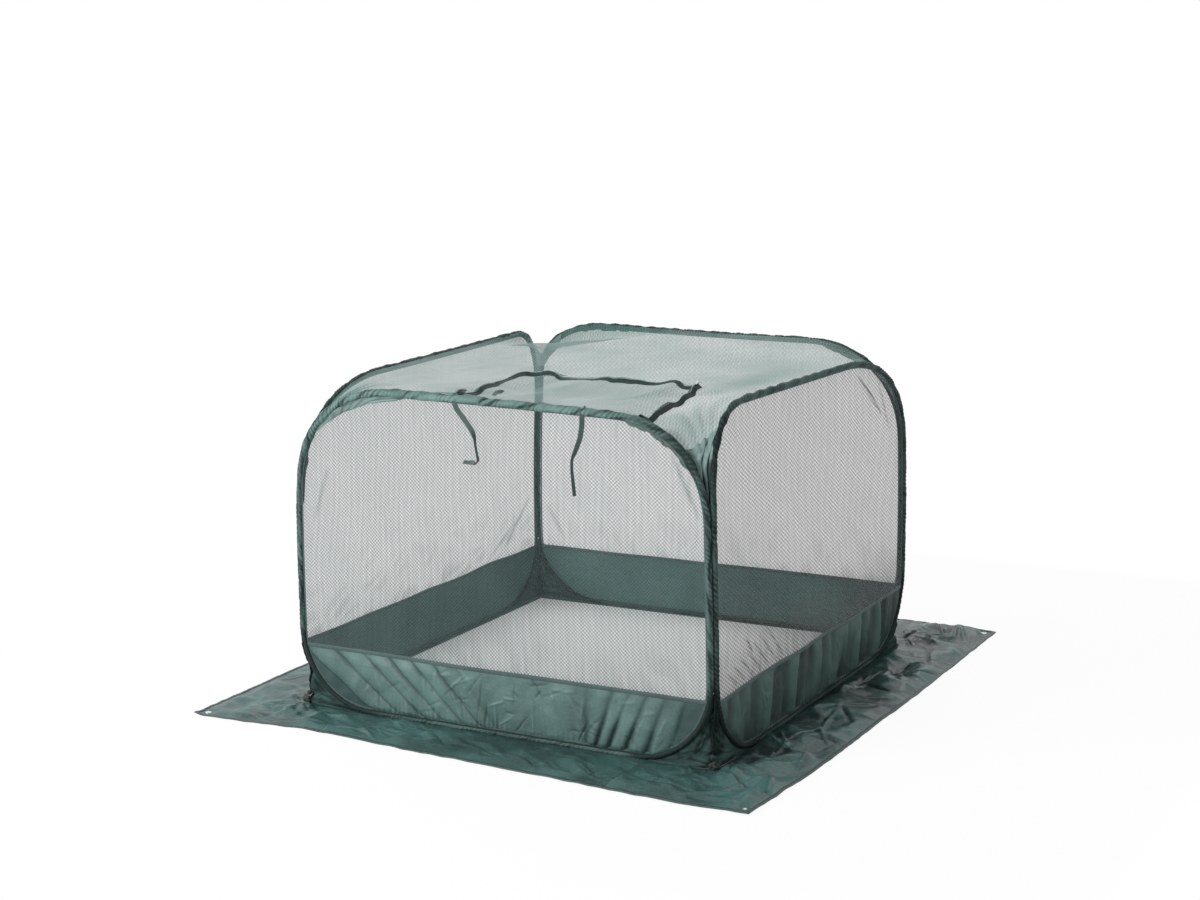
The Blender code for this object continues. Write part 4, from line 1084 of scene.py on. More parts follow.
def skirtCornerPattern(corner):
    # The corner's L, cut from one square, with the eyelet's hole.
    bm = startGrid(104, 104)
    low, size = skirtSeam, half + skirtWidth - skirtSeam
    for v in bm.verts:
        v.co = (low + v.co.x * size, low + v.co.y * size, 0)
    inner = half - skirtTuck
    cutAlong(bm, (inner, 0), (1, 0))
    cutAlong(bm, (0, inner), (0, 1))
    dropFaces(bm, lambda x, y: x < inner and y < inner)
    ex, ey = (abs(c) for c in eyeletAt[corner])
    hole, sides = 0.0050, 10
    for k in range(sides):
        way = (math.cos(math.tau * k / sides), math.sin(math.tau * k / sides))
        cutAlong(bm, (ex + hole * way[0], ey + hole * way[1]), way, near=(Vector((ex, ey)), 0.013))
    dropFaces(bm, lambda x, y: math.hypot(x - ex, y - ey) < hole)
    return bm


def splitSide(x, y):
    # Which side of the open corner's seam a spot lies on, past the eyelet.
    return (y - half) * skirtSplit[1] - (x - half) * skirtSplit[0]


def skirtCornerEdge():
    # Round the corner along the middle of the hem.
    edge, bend, count = half + skirtWidth - skirtSizes["hem"] / 2, 0.004, 90
    rows = np.linspace(skirtSeam, edge - bend, count)
    t = np.linspace(0, 1, 8)[1:-1] * math.pi / 2
    return (np.concatenate([rows, edge - bend + bend * np.sin(t), np.full(count, edge)]),
            np.concatenate([np.full(count, edge), edge - bend + bend * np.cos(t), rows[::-1]]))


skirtSplit = (0.140, 0.205)      # run of the open corner's seam, out along x and y
skirtCornerSide = 0.385
for corner, facts in corners.items():
    sx, sy = facts["signs"]
    for wall, suffix, start, _ in cornerParts(corner):
        bm = skirtCornerPattern(corner)
        edgeX, edgeY = skirtCornerEdge()
        area = skirtCornerSide ** 2 - (half - skirtSeam) ** 2
        if wall:
            isFirst = start == 0
            cutAlong(bm, (half, half), Vector((skirtSplit[0], -skirtSplit[1])).normalized())
            dropFaces(bm, lambda x, y: (splitSide(x, y) < 0) == isFirst)
            keep = (splitSide(edgeX, edgeY) >= -1e-9) == isFirst
            edgeX, edgeY = edgeX[keep], edgeY[keep]
            area *= 0.61 if isFirst else 0.39
        piece = shapeSheet(f"skirt_corner_cloth_{corner}{suffix}", bm, asCut,
                           lambda a, b: skirtPoint(sx * a, sy * b), (0, 0, 1), skirtCloth,
                           thickness=skirtSizes["thickness"],
                           coverAndShade=lambda a, b: skirtShade(sx * a, sy * b))
        hem = hemAlong(f"skirt_corner_hem_{corner}{suffix}", sx * edgeX, sy * edgeY)
        for item in (piece, hem):
            carryCorner(item, corner, wall, skirtSizes["spread"])
        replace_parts(piece, f"skirt_corner_{corner}")


def copyNode(node, name, material, bevel, shift):
    # A carried-over metal piece with its edges eased.
    bm = bmesh.new()
    bm.from_mesh(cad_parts[node].data)
    bmesh.ops.remove_doubles(bm, verts=bm.verts, dist=1e-6)
    sharp = [e for e in bm.edges if e.is_manifold and e.calc_face_angle(0) > math.radians(38)]
    bmesh.ops.bevel(bm, geom=sharp, offset=bevel, offset_type="OFFSET", affect="EDGES", segments=2,
                    profile=0.5, material=-1, clamp_overlap=True)
    bmesh.ops.translate(bm, verts=bm.verts, vec=Vector(shift))
    made = makeObject(bm, name, material)
    made.data.set_sharp_from_angle(angle=math.radians(50))
    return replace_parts(made, node)


for corner in corners:
    spot = np.array(eyeletAt[corner])
    laid = skirtPoint(spot[:1], spot[1:])[0]
    low, high = eyelets[corner]
    shift = (laid[0] - spot[0], laid[1] - spot[1], laid[2] - (low.z + high.z) / 2 + 0.0002)
    eyelet = copyNode(f"eyelet_{corner}", f"skirt_eyelet_{corner}", eyeletMetal, 0.00022, shift)
    wall = cornerParts(corner)[0][0]
    carryCorner(eyelet, corner, wall, skirtSizes["spread"])
print("ground skirt made")


# Foot gussets

gussetSizes = {"thickness": 0.0012, "fold": 0.0055, "out": 0.0045, "start": 0.10, "spread": 0.02}


def footGussetPoint(corner, w, turn):
    # w runs round the corner from the first wall to the second, turn down the loops' bends.
    reach = footBend + gussetSizes["out"]
    z = np.clip(footRun + footBend - reach * np.sin(turn), 0.0016, None)
    leg = np.maximum(half - postLine + footBend - reach * np.cos(turn), 0.0115)
    # Taut high up, pushed out toward the corner low down
    bow = 1 + 1.5 * ease((0.11 - z) / 0.07) + 1.5 * ease((0.030 - z) / 0.028)
    fromFirst, fromSecond = (1 - w) ** bow * leg, w ** bow * leg
    hold = np.sin(math.pi * w) ** 0.5 * ease((z - 0.002) / 0.02) * ease(turn / 0.25)
    push = gussetSizes["fold"] * hold * gussetFold(corner, w, turn) - 0.0005
    return fromFirst, fromSecond, z, push


def gussetFold(corner, w, turn):
    # Creases that run from the post down to the gathered foot, and stiff crumples across.
    seed = 700 + 7 * list(corners).index(corner)
    fan = pleats(3.2 * w + 0.35 * waves(w * 0.6, turn, 1.1, seed) + 0.5 * w * turn, 0.10)
    crumple = facets(w * 0.9, turn * 0.8, 0.42, seed + 1, 4)
    return 0.35 * fan + 0.70 * crumple + 0.45 * facets(w, turn, 0.17, seed + 2, 3)


for corner, facts in corners.items():
    sx, sy = facts["signs"]
    firstIsX = facts["walls"][0] in ("front", "back")
    for wall, suffix, start, end in cornerParts(corner):
        def place(w, turn):
            fromFirst, fromSecond, z, push = footGussetPoint(corner, w, turn)
            ax, ay = (fromFirst, fromSecond) if firstIsX else (fromSecond, fromFirst)
            shove = push / math.sqrt(2)
            return leaned(np.stack([sx * (half - ax - shove + 0.001),
                                    sy * (half - ay - shove + 0.001), z], -1))

        def shade(w, turn):
            # Painted shade: darker in the folds and high up toward the posts, with a dark line
            # down the corner's middle.
            folds = np.clip(0.40 - 0.35 * gussetFold(corner, w, turn), 0, 0.9)
            return folds + 0.5 * np.exp(-((w - 0.5) / 0.05) ** 2) + 0.25 * ease((0.9 - turn) / 0.4)

        share = end - start
        gusset = shapeSheet(f"foot_gusset_cloth_{corner}{suffix}", startGrid(int(76 * share), 60),
                            cornerPattern(start, end, gussetSizes["start"], math.pi / 2), place,
                            (sx, sy, 0), gussetCloth, coverAndShade=shade,
                            thickness=gussetSizes["thickness"])
        [f"loop_sleeve_{w}" for w in facts["walls"]]
        carryCorner(gusset, corner, wall, gussetSizes["spread"])
        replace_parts(gusset, f"foot_gusset_{corner}")


# Webs between neighbouring posts

webSizes = {"low": 0.190, "high": 0.640, "thickness": 0.0008, "spread": 0.012}


def webRipple(w, z):
    return np.sin(z * 190 + 6 * w)


for corner, facts in corners.items():
    sx, sy = facts["signs"]
    posts = [(w, postLine if wallEnd(w, corner) else -postLine) for w in facts["walls"]]
    for wall, suffix, start, end in cornerParts(corner):
        def place(w, z):
            first, second = (onWall(name, along, z, 0.0) for name, along in posts)
            out = 0.0020 * np.sin(math.pi * w) + 0.0010 * webRipple(w, z)
            bulge = np.stack([sx * out, sy * out, 0 * out], -1)
            return first + (second - first) * w[:, None] + bulge

        # Painted shade darkens the webs, for the shade between the posts.
        web = shapeSheet(f"corner_web_{corner}{suffix}", startGrid(8, 120),
                         cornerPattern(start, end, webSizes["low"], webSizes["high"]), place,
                         (sx, sy, 0), gussetCloth, thickness=webSizes["thickness"],
                         coverAndShade=lambda w, z: 0.75 + 0.25 * webRipple(w, z))
        wide, share = (0.0102, 0.72) if wall else (0.0160, 1.0)
        [f"loop_sleeve_{w}" for w in facts["walls"]]
        carryCorner(web, corner, wall, webSizes["spread"])


# Where the foot cloth is drawn together: a corded edge down the corner and a small tied knot

knotSizes = {"cord": 0.0030, "twist": 0.011, "knot": 0.0120}


def cordSection(turn, travel):
    size = 1 + 0.16 * np.sin(math.tau * (travel / knotSizes["twist"] + turn))
    return ring(turn, knotSizes["cord"] * size)


def cordShade(_, travel):
    return 0.85 + 0.15 * np.sin(math.tau * travel / knotSizes["twist"])


for corner in ("front_left", "front_right"):
    sx, sy = corners[corner]["signs"]
    turn = np.linspace(0.42, 1.40, 70)
    fromFirst, fromSecond, z, _ = footGussetPoint(corner, np.full_like(turn, 0.5), turn)
    line = leaned(np.stack([sx * (half - fromFirst + 0.0020 + 0.0012 * np.sin(z * 210)),
                            sy * (half - fromSecond + 0.0020), z], -1))
    cord = sweep(f"corner_cord_{corner}", line, (sx, -sy, 0), cordSection, 12, gussetCloth,
                 coverAndShade=cordShade)
    bm = bmesh.new()
    for size, inset, high in ((1.0, 0.008, 0.0105), (0.55, 0.012, 0.030)):
        radius = knotSizes["knot"] * size
        lump = bmesh.ops.create_icosphere(bm, subdivisions=4, radius=radius)["verts"]
        for v in lump:
            x, y, up = v.co * 100
            bumps = math.sin(3.1 * x + 1) * math.sin(2.7 * y + 2)
            v.co = v.co * (1 + 0.30 * (bumps + 0.6 * math.sin(5.2 * up + 2.1 * x)))
            v.co.z *= 0.72
        spot = sx * (half - inset), sy * (half - inset * 0.7), high
        bmesh.ops.translate(bm, verts=lump, vec=spot)
    knot = makeObject(bm, f"corner_knot_{corner}", knotCloth)
    for piece in (cord, knot):
        carryCorner(piece, corner, None, gussetSizes["spread"])
print("foot gussets made")


# Roof: one surface for the net, its flap, the zip and the corner gussets

roofSizes = {"columns": 190, "lift": 0.0045, "sag": 0.010, "inset": 0.0105, "keep": 0.06,
             "stripRight": 0.455, "stripBack": -0.240,
             "flapLeft": -0.110, "flapRight": 0.415, "flapBack": -0.290}
# At each corner: how far the gusset's seam reaches along the wall across x and the wall across y,
# and how deep the cloth hangs between the two loops
topCorners = {"front_right": dict(reach=(0.086, 0.056), hollow=0.012),
              "back_right": dict(reach=(0.090, 0.090), hollow=0.006),
              "front_left": dict(reach=(0.090, 0.090), hollow=0.006),
              "back_left": dict(reach=(0.090, 0.090), hollow=0.060, pair=(0.130, 0.095),
                               blend=(1.2, 3.8), calm=0.25)}
# The zip's line: places on the cut pattern, and where each lies on the hung net
zipLine = np.array([
    (-0.110, -0.596, -0.110, -0.596, 0.850), (-0.110, -0.520, -0.110, -0.520, 0.833),
    (-0.110, -0.459, -0.110, -0.459, 0.8434), (-0.110, -0.370, -0.112, -0.370, 0.8465),
    (-0.110, -0.310, -0.110, -0.300, 0.8498), (-0.110, -0.290, -0.100, -0.262, 0.843),
    (-0.080, -0.290, -0.069, -0.270, 0.846), (-0.040, -0.290, -0.036, -0.265, 0.857),
    (0.030, -0.290, 0.034, -0.270, 0.8467), (0.080, -0.290, 0.083, -0.276, 0.848),
    (0.125, -0.290, 0.132, -0.280, 0.851), (0.190, -0.290, 0.192, -0.285, 0.8476),
    (0.240, -0.290, 0.242, -0.288, 0.848), (0.290, -0.290, 0.2936, -0.290, 0.8487),
    (0.335, -0.290, 0.3385, -0.275, 0.8567), (0.380, -0.290, 0.3816, -0.292, 0.845),
    (0.415, -0.290, 0.411, -0.292, 0.8475), (0.415, -0.300, 0.415, -0.300, 0.8488),
    (0.415, -0.370, 0.420, -0.370, 0.835), (0.415, -0.430, 0.421, -0.430, 0.8245),
    (0.415, -0.500, 0.421, -0.500, 0.817), (0.415, -0.560, 0.421, -0.560, 0.812),
    (0.415, -0.596, 0.421, -0.596, 0.808)])


def roofBase(x, y):
    # Height of the roof: level with the runs inside, rolled down along both loops at a corner.
    sides = {"front": y + half, "right": half - x, "back": half - y, "left": x + half}
    along = {"front": x, "right": y, "back": x, "left": y}
    total, weight = 0.0, 0.0
    for wall in wallNames:
        share = 1 / (np.clip(sides[wall], 0, None) + 0.004) ** 2
        total = total + share * runHeight(wall, along[wall])
        weight = weight + share
    height = total / weight
    s, t = (x + half) / (2 * half), (y + half) / (2 * half)
    height = height - roofSizes["sag"] * 16 * s * (1 - s) * t * (1 - t)
    for corner, facts in corners.items():
        (sx, sy), inset = facts["signs"], roofSizes["inset"]
        alongX, alongY = sorted(facts["walls"], key=lambda wall: wall in ("left", "right"))
        reachX, reachY = topCorners[corner].get(
            "pair", [loops[wall]["reach"][wallEnd(wall, corner)] for wall in (alongX, alongY)])
        # In from the left or right wall, and from the front or back one
        a, b = np.clip(half - sx * x - inset, 0, None), np.clip(half - sy * y - inset, 0, None)
        over = a / reachX + b / reachY
        lean = (b / reachY) / np.maximum(over, 1e-9)
        onX = topLine(alongX, sx * (postLine - over * reachX))
        onY = topLine(alongY, sy * (postLine - over * reachY))
        hang = topCorners[corner]["hollow"] * (4 * lean * (1 - lean)) ** 0.7
        ruled = (1 - lean) * onX + lean * onY - hang * ease(over / 0.35)
        start, span = topCorners[corner].get("blend", (0.7, 0.6))
        eased = ruled + (height - ruled) * ease((over - start) / span)
        height = np.where(over < start + span, eased, height)
    return height


def inFlap(x, y):
    sizes = roofSizes
    return (x > sizes["flapLeft"]) & (x < sizes["flapRight"]) & (y < sizes["flapBack"])


def cornerFans(x, y):
    # Folds that fan out from each corner of the roof: the corner, how far it is, their height.
    for number, (corner, facts) in enumerate(corners.items()):
        sx, sy = facts["signs"]
        a, b = half - sx * x, half - sy * y
        fan = np.sin(16 * np.arctan2(b, a + 1e-9) + 1.6 * waves(x, y, 0.2, 820 + number))
        yield corner, np.hypot(a, b), fan


def zipPull(x, y):
    # How far the zip's weight and stiffness move the net, fading away from it.
    gapX, gapY = x[..., None] - zipLine[:, 0], y[..., None] - zipLine[:, 1]
    away = gapX ** 2 + gapY ** 2
    share = np.exp(-(away - away.min(-1, keepdims=True)) / 0.026 ** 2)
    share /= share.sum(-1, keepdims=True)
    fade = np.exp(-away.min(-1) / 0.085 ** 2)
    base = roofBase(zipLine[:, 2], zipLine[:, 3])
    moves = zipLine[:, 2] - zipLine[:, 0], zipLine[:, 3] - zipLine[:, 1], zipLine[:, 4] - base
    return [fade * (share @ move) for move in moves]


def roofPoint(x, y, lift=0.0):
    # Where a place on the roof's cut pattern hangs; its folds and the zip's pull end at the edge.
    edge = ease(np.minimum(half - np.abs(x), half - np.abs(y)) / 0.035)
    dx, dy, dz = zipPull(x, y)
    px, py = x + dx * edge, y + dy * edge
    height = roofBase(px, py) + edge * dz
    total = 0.0022 * waves(x, y, 0.30, 800, 6) + 0.0010 * facets(x, y, 0.12, 810, 3)
    for corner, away, fan in cornerFans(x, y):
        deep = 0.0042 * topCorners[corner].get("calm", 1) * fan
        total = total + deep * np.exp(-((away - 0.10) / 0.13) ** 2) * ease(away / 0.05)
    ruck = 0.0026 * facets(x, y, 0.16, 840, 3) + 0.0020 * waves(x, y, 0.15, 841)
    total = total + ruck * np.where(inFlap(x, y), 1.0, 0.25)
    height = height + roofSizes["lift"] + edge * total + lift
    return leaned(np.stack([px, py, height], -1))


# Where the roof net lies doubled, drawn up or stretched thin: middle, half widths, and how much
# more or less it covers
roofPatches = [(0.50, -0.14, 0.07, 0.15, 0.38), (0.46, 0.10, 0.12, 0.16, 0.16),
               (0.48, -0.48, 0.10, 0.12, -0.18), (0.10, -0.42, 0.16, 0.07, 0.12),
               (-0.30, 0.25, 0.22, 0.20, 0.02), (0.10, 0.45, 0.35, 0.10, -0.08),
               (-0.45, -0.30, 0.10, 0.22, 0.03), (0.30, -0.22, 0.20, 0.05, -0.05)]


def roofDense(x, y):
    total = np.zeros(np.shape(x))
    for _, away, fan in cornerFans(x, y):
        total = total + (0.06 + 0.06 * fan) * np.exp(-((away - 0.09) / 0.09) ** 2)
    total = total + patches(x, y, roofPatches)
    return (total + np.where(inFlap(x, y), 0.10, 0.0) + 0.05 * waves(x, y, 0.25, 850, 5)
            + 0.06 * ease(np.abs(facets(x, y, 0.16, 840, 3)) - 0.3))


def roofPattern():
    bm = startGrid(roofSizes["columns"], roofSizes["columns"])
    size = 2 * (half - 0.001)
    for v in bm.verts:
        v.co = ((v.co.x - 0.5) * size, (v.co.y - 0.5) * size, 0)
    return bm


def trimCorners(bm):
    for corner, facts in corners.items():
        sx, sy = facts["signs"]
        reachX, reachY = topCorners[corner]["reach"]
        cutAlong(bm, (sx * (half - reachX), sy * half),
                 Vector((sx * reachY, sy * reachX)).normalized(), clear=True)


def cutFlap(bm):
    cutAlong(bm, (roofSizes["flapLeft"], 0), (1, 0))
    cutAlong(bm, (roofSizes["flapRight"], 0), (1, 0))
    cutAlong(bm, (0, roofSizes["flapBack"]), (0, 1))


def flattenWith(piece, wall):
    # Gives a roof piece its own copy of its mesh.
    x, y, _ = outward[wall]
    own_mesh(piece)


def roofOwner(x, y):
    # The wall nearest to a spot keeps it, and the front one keeps the strip round the flap.
    strip = 0 < x < roofSizes["stripRight"] and y < roofSizes["stripBack"]
    if y < -abs(x) or strip:
        return "front"
    return ("right" if x > 0 else "left") if abs(x) > abs(y) else "back"


# The roof net in four parts, each carried by one wall
for wall in wallNames:
    bm = roofPattern()
    trimCorners(bm)
    for way in ((1, 1), (1, -1)):
        cutAlong(bm, (0, 0), Vector(way).normalized())
    cutAlong(bm, (roofSizes["stripRight"], 0), (1, 0))
    cutAlong(bm, (0, roofSizes["stripBack"]), (0, 1))
    cutFlap(bm)
    dropFaces(bm, lambda x, y: roofOwner(x, y) != wall or inFlap(x, y))
    net = shapeSheet(f"roof_sheet_{wall}", bm, asCut, roofPoint, (0, 0, 1), netRoof,
                     coverAndShade=roofDense)
    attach(net, f"{wall}_wall")
    flattenWith(net, wall)
    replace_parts(net, "roof_net")

bm = roofPattern()
cutFlap(bm)
dropFaces(bm, lambda x, y: not inFlap(x, y))
flap = shapeSheet("roof_flap_sheet", bm, asCut, roofPoint, (0, 0, 1), netRoof, coverAndShade=roofDense)
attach(flap, "roof_flap")
flattenWith(flap, "front")
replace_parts(flap, "roof_flap_net")

# Top gussets: w runs round the corner, and down from its tip at 0 to the roof's seam at 1
topGussetSizes = {"tip": 0.13, "hem": 1.03, "fold": 0.0066, "thickness": 0.0010, "spread": 0.012}
for corner, facts in corners.items():
    sx, sy = facts["signs"]
    firstIsX = facts["walls"][0] in ("front", "back")
    reachX, reachY = topCorners[corner]["reach"]
    sizes, calm = topGussetSizes, topCorners[corner].get("calm", 1)

    def fold(w, down):
        turn = 3.5 * w + 0.45 * waves(w, down, 0.8, 870 + len(corner)) + 0.5 * down * (1 - w)
        return pleats(turn, 0.09) + 0.5 * facets(w * 0.7, down, 0.35, 880, 3)

    def place(w, down):
        towardX, towardY = (1 - w, w) if firstIsX else (w, 1 - w)
        a, b = towardX * down * reachX, towardY * down * reachY
        points = roofPoint(sx * (half - np.maximum(a, 0.001)), sy * (half - np.maximum(b, 0.001)))
        deep = sizes["fold"] * calm * fold(w, down)
        deep = deep * np.sin(math.pi * w) ** 0.6 * np.clip(1.7 * (1.02 - down), 0, 1)
        return points + np.stack([deep * sx, deep * sy, 0 * deep], -1) * 0.7

    def shade(w, down):
        # Painted shade: darker in the folds and toward the tip between the loops.
        folds = np.clip(0.46 - 0.75 * fold(w, down), 0, 1.1) * calm
        return folds * ease(1.35 - down) + 0.55 * ease((0.62 - down) / 0.4)

    for wall, suffix, start, end in cornerParts(corner):
        share = end - start
        gusset = shapeSheet(f"top_gusset_cloth_{corner}{suffix}", startGrid(int(60 * share), 56),
                            cornerPattern(start, end, sizes["tip"], sizes["hem"]), place,
                            (sx, sy, 0.6), topGussetLitCloth, coverAndShade=shade,
                            thickness=sizes["thickness"])
        [f"loop_sleeve_{w}" for w in facts["walls"]]
        carryCorner(gusset, corner, wall, sizes["spread"])
        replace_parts(gusset, f"top_gusset_{corner}")
print("roof made")


# Zip: tapes, teeth, slider and pull

zipSizes = {"ridge": 0.0080, "tape": 0.0115, "tapeThick": 0.0010, "pitch": 0.0022,
            "tooth": 0.0024, "rise": 0.0013, "front": -0.594,
            "stations": 380, "teethStations": 1200}


def zipRoute(shift, count):
    # The zip's line on the pattern, moved inward to the flap by shift, with a rounded corner.
    left, right = roofSizes["flapLeft"] + shift, roofSizes["flapRight"] - shift
    back, front, r = roofSizes["flapBack"] - shift, zipSizes["front"], max(0.010 - shift, 0.002)
    t = np.linspace(0, math.pi / 2, 10)
    legs = [np.stack([np.full(40, left), np.linspace(front, back - r, 40)], -1),
            np.stack([left + r - r * np.cos(t), back - r + r * np.sin(t)], -1),
            np.stack([np.linspace(left + r, right - r, 60), np.full(60, back)], -1),
            np.stack([right - r + r * np.sin(t), back - r + r * np.cos(t)], -1),
            np.stack([np.full(40, right), np.linspace(back - r, front, 40)], -1)]
    line = np.concatenate(legs)
    travel = np.concatenate([[0], np.cumsum(np.hypot(*np.diff(line, axis=0).T))])
    even = np.linspace(0, travel[-1], count)
    return np.interp(even, travel, line[:, 0]), np.interp(even, travel, line[:, 1])


def zipRidge(x, y):
    # The zip stands up along its line, higher where the stiff tapes are pushed together.
    right = ease((x - 0.395) / 0.02)
    uneven = 0.45 * (1 - 0.8 * right) * waves(x, y, 0.16, 930, 5)
    return zipSizes["ridge"] * (0.75 + uneven + 0.65 * right)


def zipTooth(turn, travel):
    angle = math.tau * turn
    bead = 0.72 + 0.28 * np.sin(math.tau * travel / zipSizes["pitch"])
    return zipSizes["tooth"] / 2 * bead * np.cos(angle), zipSizes["rise"] * bead * np.sin(angle)


for body, shift, suffix in (("front_wall", -1, "roof"), ("roof_flap", 1, "flap")):
    sizes = zipSizes
    lineX, lineY = zipRoute(0, sizes["stations"])
    x, y = zipRoute(shift * (sizes["tape"] / 2 + 0.0009), sizes["stations"])
    away = np.stack([x - lineX, y - lineY, 0 * x], -1)
    away /= np.linalg.norm(away, axis=1)[:, None] + 1e-9
    ridge = zipRidge(lineX, lineY)
    lean = np.stack([0 * x, 0 * x, np.full_like(x, sizes["tape"])], -1) + away * ridge[:, None]
    wide = math.hypot(sizes["tape"], sizes["ridge"])
    tape = sweep(f"zip_strip_{suffix}", roofPoint(x, y, 0.0006 + ridge / 2), lean,
                 flatSection(wide, sizes["tapeThick"], 0.0003, 0.014), 12, zipTapeCloth)
    x, y = zipRoute(shift * 0.0014, sizes["teethStations"])
    coil = sweep(f"zip_teeth_{suffix}", roofPoint(x, y, 0.0010 + zipRidge(x, y)), (0, 0, 1),
                 zipTooth, 6, zipTeeth)
    for piece, part in ((tape, "tape"), (coil, "coil")):
        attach(piece, body)
        flattenWith(piece, "front")
        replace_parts(piece, f"zip_{part}_{suffix}")

sliderLow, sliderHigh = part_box("zip_slider")
sliderSpot = (sliderLow + sliderHigh) / 2
x, y = np.array([sliderSpot[0]]), np.array([sliderSpot[1]])
sliderShift = roofPoint(x, y, 0.0016 + zipRidge(x, y))[0] - np.array(sliderSpot)
for node, name, body in (("zip_slider", "zip_slider_body", "zip_slider"),
                         ("zip_pull", "zip_pull_tab", "zip_pull")):
    metal = copyNode(node, name, zipMetal, 0.00012, sliderShift)
    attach(metal, body)
    flattenWith(metal, "front")
print("zip made")


# Ribbons and tabs

# Each ribbon on the front: along, height, and how square it faces the camera, 1 flat and 0 edge on
ribbonRoutes = {
    "left": [(-0.104, 0.852, 1), (-0.101, 0.834, 1), (-0.090, 0.815, 1), (-0.074, 0.797, 1),
             (-0.058, 0.779, 1), (-0.046, 0.763, 0.8), (-0.040, 0.750, 0.25),
             (-0.037, 0.730, 0.15), (-0.032, 0.705, 0.15), (-0.030, 0.694, 0.3),
             (-0.036, 0.690, 0.3), (-0.055, 0.689, 0.3), (-0.074, 0.689, 0.3)],
    "right": [(0.262, 0.846, 1), (0.265, 0.826, 1), (0.264, 0.800, 0.9), (0.259, 0.770, 0.9),
              (0.248, 0.742, 0.7), (0.236, 0.716, 0.3), (0.235, 0.690, 0.3), (0.238, 0.655, 0.4),
              (0.241, 0.630, 0.4)],
}
ribbonSizes = {"width": 0.0125, "thickness": 0.0009, "stations": 110}
tabSizes = {"width": 0.010, "thickness": 0.0010, "length": 0.022, "arch": 0.0045}


def smoothRoute(points, count, rounds):
    # A soft curve through the points, evenly stepped.
    points = np.asarray(points, float)
    travel = np.concatenate([[0], np.cumsum(np.hypot(*np.diff(points[:, :2], axis=0).T))])
    fine = np.linspace(0, travel[-1], count)
    line = np.stack([np.interp(fine, travel, points[:, k]) for k in range(points.shape[1])], -1)
    for _ in range(rounds):
        line[1:-1] = (line[:-2] + 2 * line[1:-1] + line[2:]) / 4
    return line


for name, route in ribbonRoutes.items():
    line = smoothRoute(route, ribbonSizes["stations"], 6)
    along, z, square = line.T
    points = onWall("front", along, z, np.full_like(z, -0.0088))
    top = topLine("front", along)
    points[:, 2] = np.minimum(points[:, 2], top + 0.0082)
    over = np.clip((points[:, 2] - top + 0.012) / 0.02, 0, 1)
    points[:, 1] += 0.012 * over ** 2 - 0.002 * (1 - over) * (1 + ripple(z, 0.11, 905 + len(name)))
    angle = math.radians(-60) + (1 - square) * math.radians(80)
    facing = np.stack([np.cos(angle), np.sin(angle), 0.1 + 0 * angle], -1)
    section = flatSection(ribbonSizes["width"], ribbonSizes["thickness"])
    ribbon = sweep(f"ribbon_{name}", points, facing, section, 14, ribbonCloth)
    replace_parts(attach(ribbon, "front_wall"), f"tie_ribbon_{name}")

for name, body in (("roof", "front_wall"), ("flap", "roof_flap")):
    low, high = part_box(f"tie_tab_{name}")
    middle = (low + high) / 2
    way = Vector((high.x - low.x, high.y - low.y)).normalized()
    t = np.linspace(0, 1, 36)
    step = -0.5 * np.cos(math.pi * t) * tabSizes["length"]
    aside = -0.034 if name == "flap" else 0.0
    x, y = middle.x + aside + way.x * step, middle.y + way.y * step
    line = roofPoint(x, y, 0.0042)
    line[:, 2] += tabSizes["arch"] * np.sin(math.pi * t) ** 1.2 + 0.006 * t
    section = flatSection(tabSizes["width"], tabSizes["thickness"])
    tab = sweep(f"tab_{name}", line, (0.35, -0.9, 0.6), section, 12, ribbonCloth)
    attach(tab, body)
    flattenWith(tab, "front")
    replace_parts(tab, f"tie_tab_{name}")


# Facings sewn inside the loops' upper corners

def cornerFacing(wall, end, first, last, width, tone, ruffle):
    # Crescent of cloth: first and last are shares of the corner bend, from post to top run; tone
    # is how much painted shade darkens it, more in its folds.
    reach, drop = loops[wall]["reach"][end], loops[wall]["drop"][end]
    name, sign = f"corner_facing_{wall}_{('left', 'right')[end]}", (-1, 1)[end]

    def place(share, v):
        t = np.clip(share, 0, 1) * math.pi / 2
        (c, s), extra = cornerCurve(t), np.clip(share - 1, 0, None)
        along = postLine - reach * (1 - c) - extra * reach
        z = runHeight(wall, sign * along) - drop * (1 - s)
        part = (share - first) / (last - first)
        deep = width * np.sin(math.pi * np.clip(part, 0, 1)) ** 0.75 * v
        wavy = ruffle * (np.sin(26 * part + 1.0) + 0.6 * np.sin(57 * part)) * v
        inward = deep + wavy + 0.003
        along, z = along - np.cos(t * 0.9) * inward, z - np.sin(t * 0.9) * inward
        return onWall(wall, sign * along, z, -0.0022 + 0.0016 * folded(share, v))

    def folded(share, v):
        return pleats(share * 9 + 1.2 * v + waves(share, v * 0.3, 0.5, 950), 0.12) - 0.4

    piece = shapeSheet(name, startGrid(110, 14), cornerPattern(first, last, 0, 1), place,
                       outward[wall], facingCloth, thickness=0.0008,
                       coverAndShade=lambda share, v: np.clip(tone - 0.30 * folded(share, v), 0, 1))
    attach(piece, f"{wall}_wall")


cornerFacing("front", 0, first=0.30, last=1.15, width=0.026, tone=0.25, ruffle=0.0008)
cornerFacing("front", 1, first=0.20, last=1.05, width=0.017, tone=0.75, ruffle=0.0022)
cornerFacing("back", 1, first=0.45, last=0.95, width=0.020, tone=0.20, ruffle=0.0006)
cornerFacing("back", 0, first=0.55, last=1.35, width=0.012, tone=0.35, ruffle=0.0022)
print("ribbons and facings made")


# Stage, light and camera

stageLook = {"floor": 0.90, "world": 0.50, "pure": 0.92, "inside": 0.22, "near": 0.95, "far": 1.7}


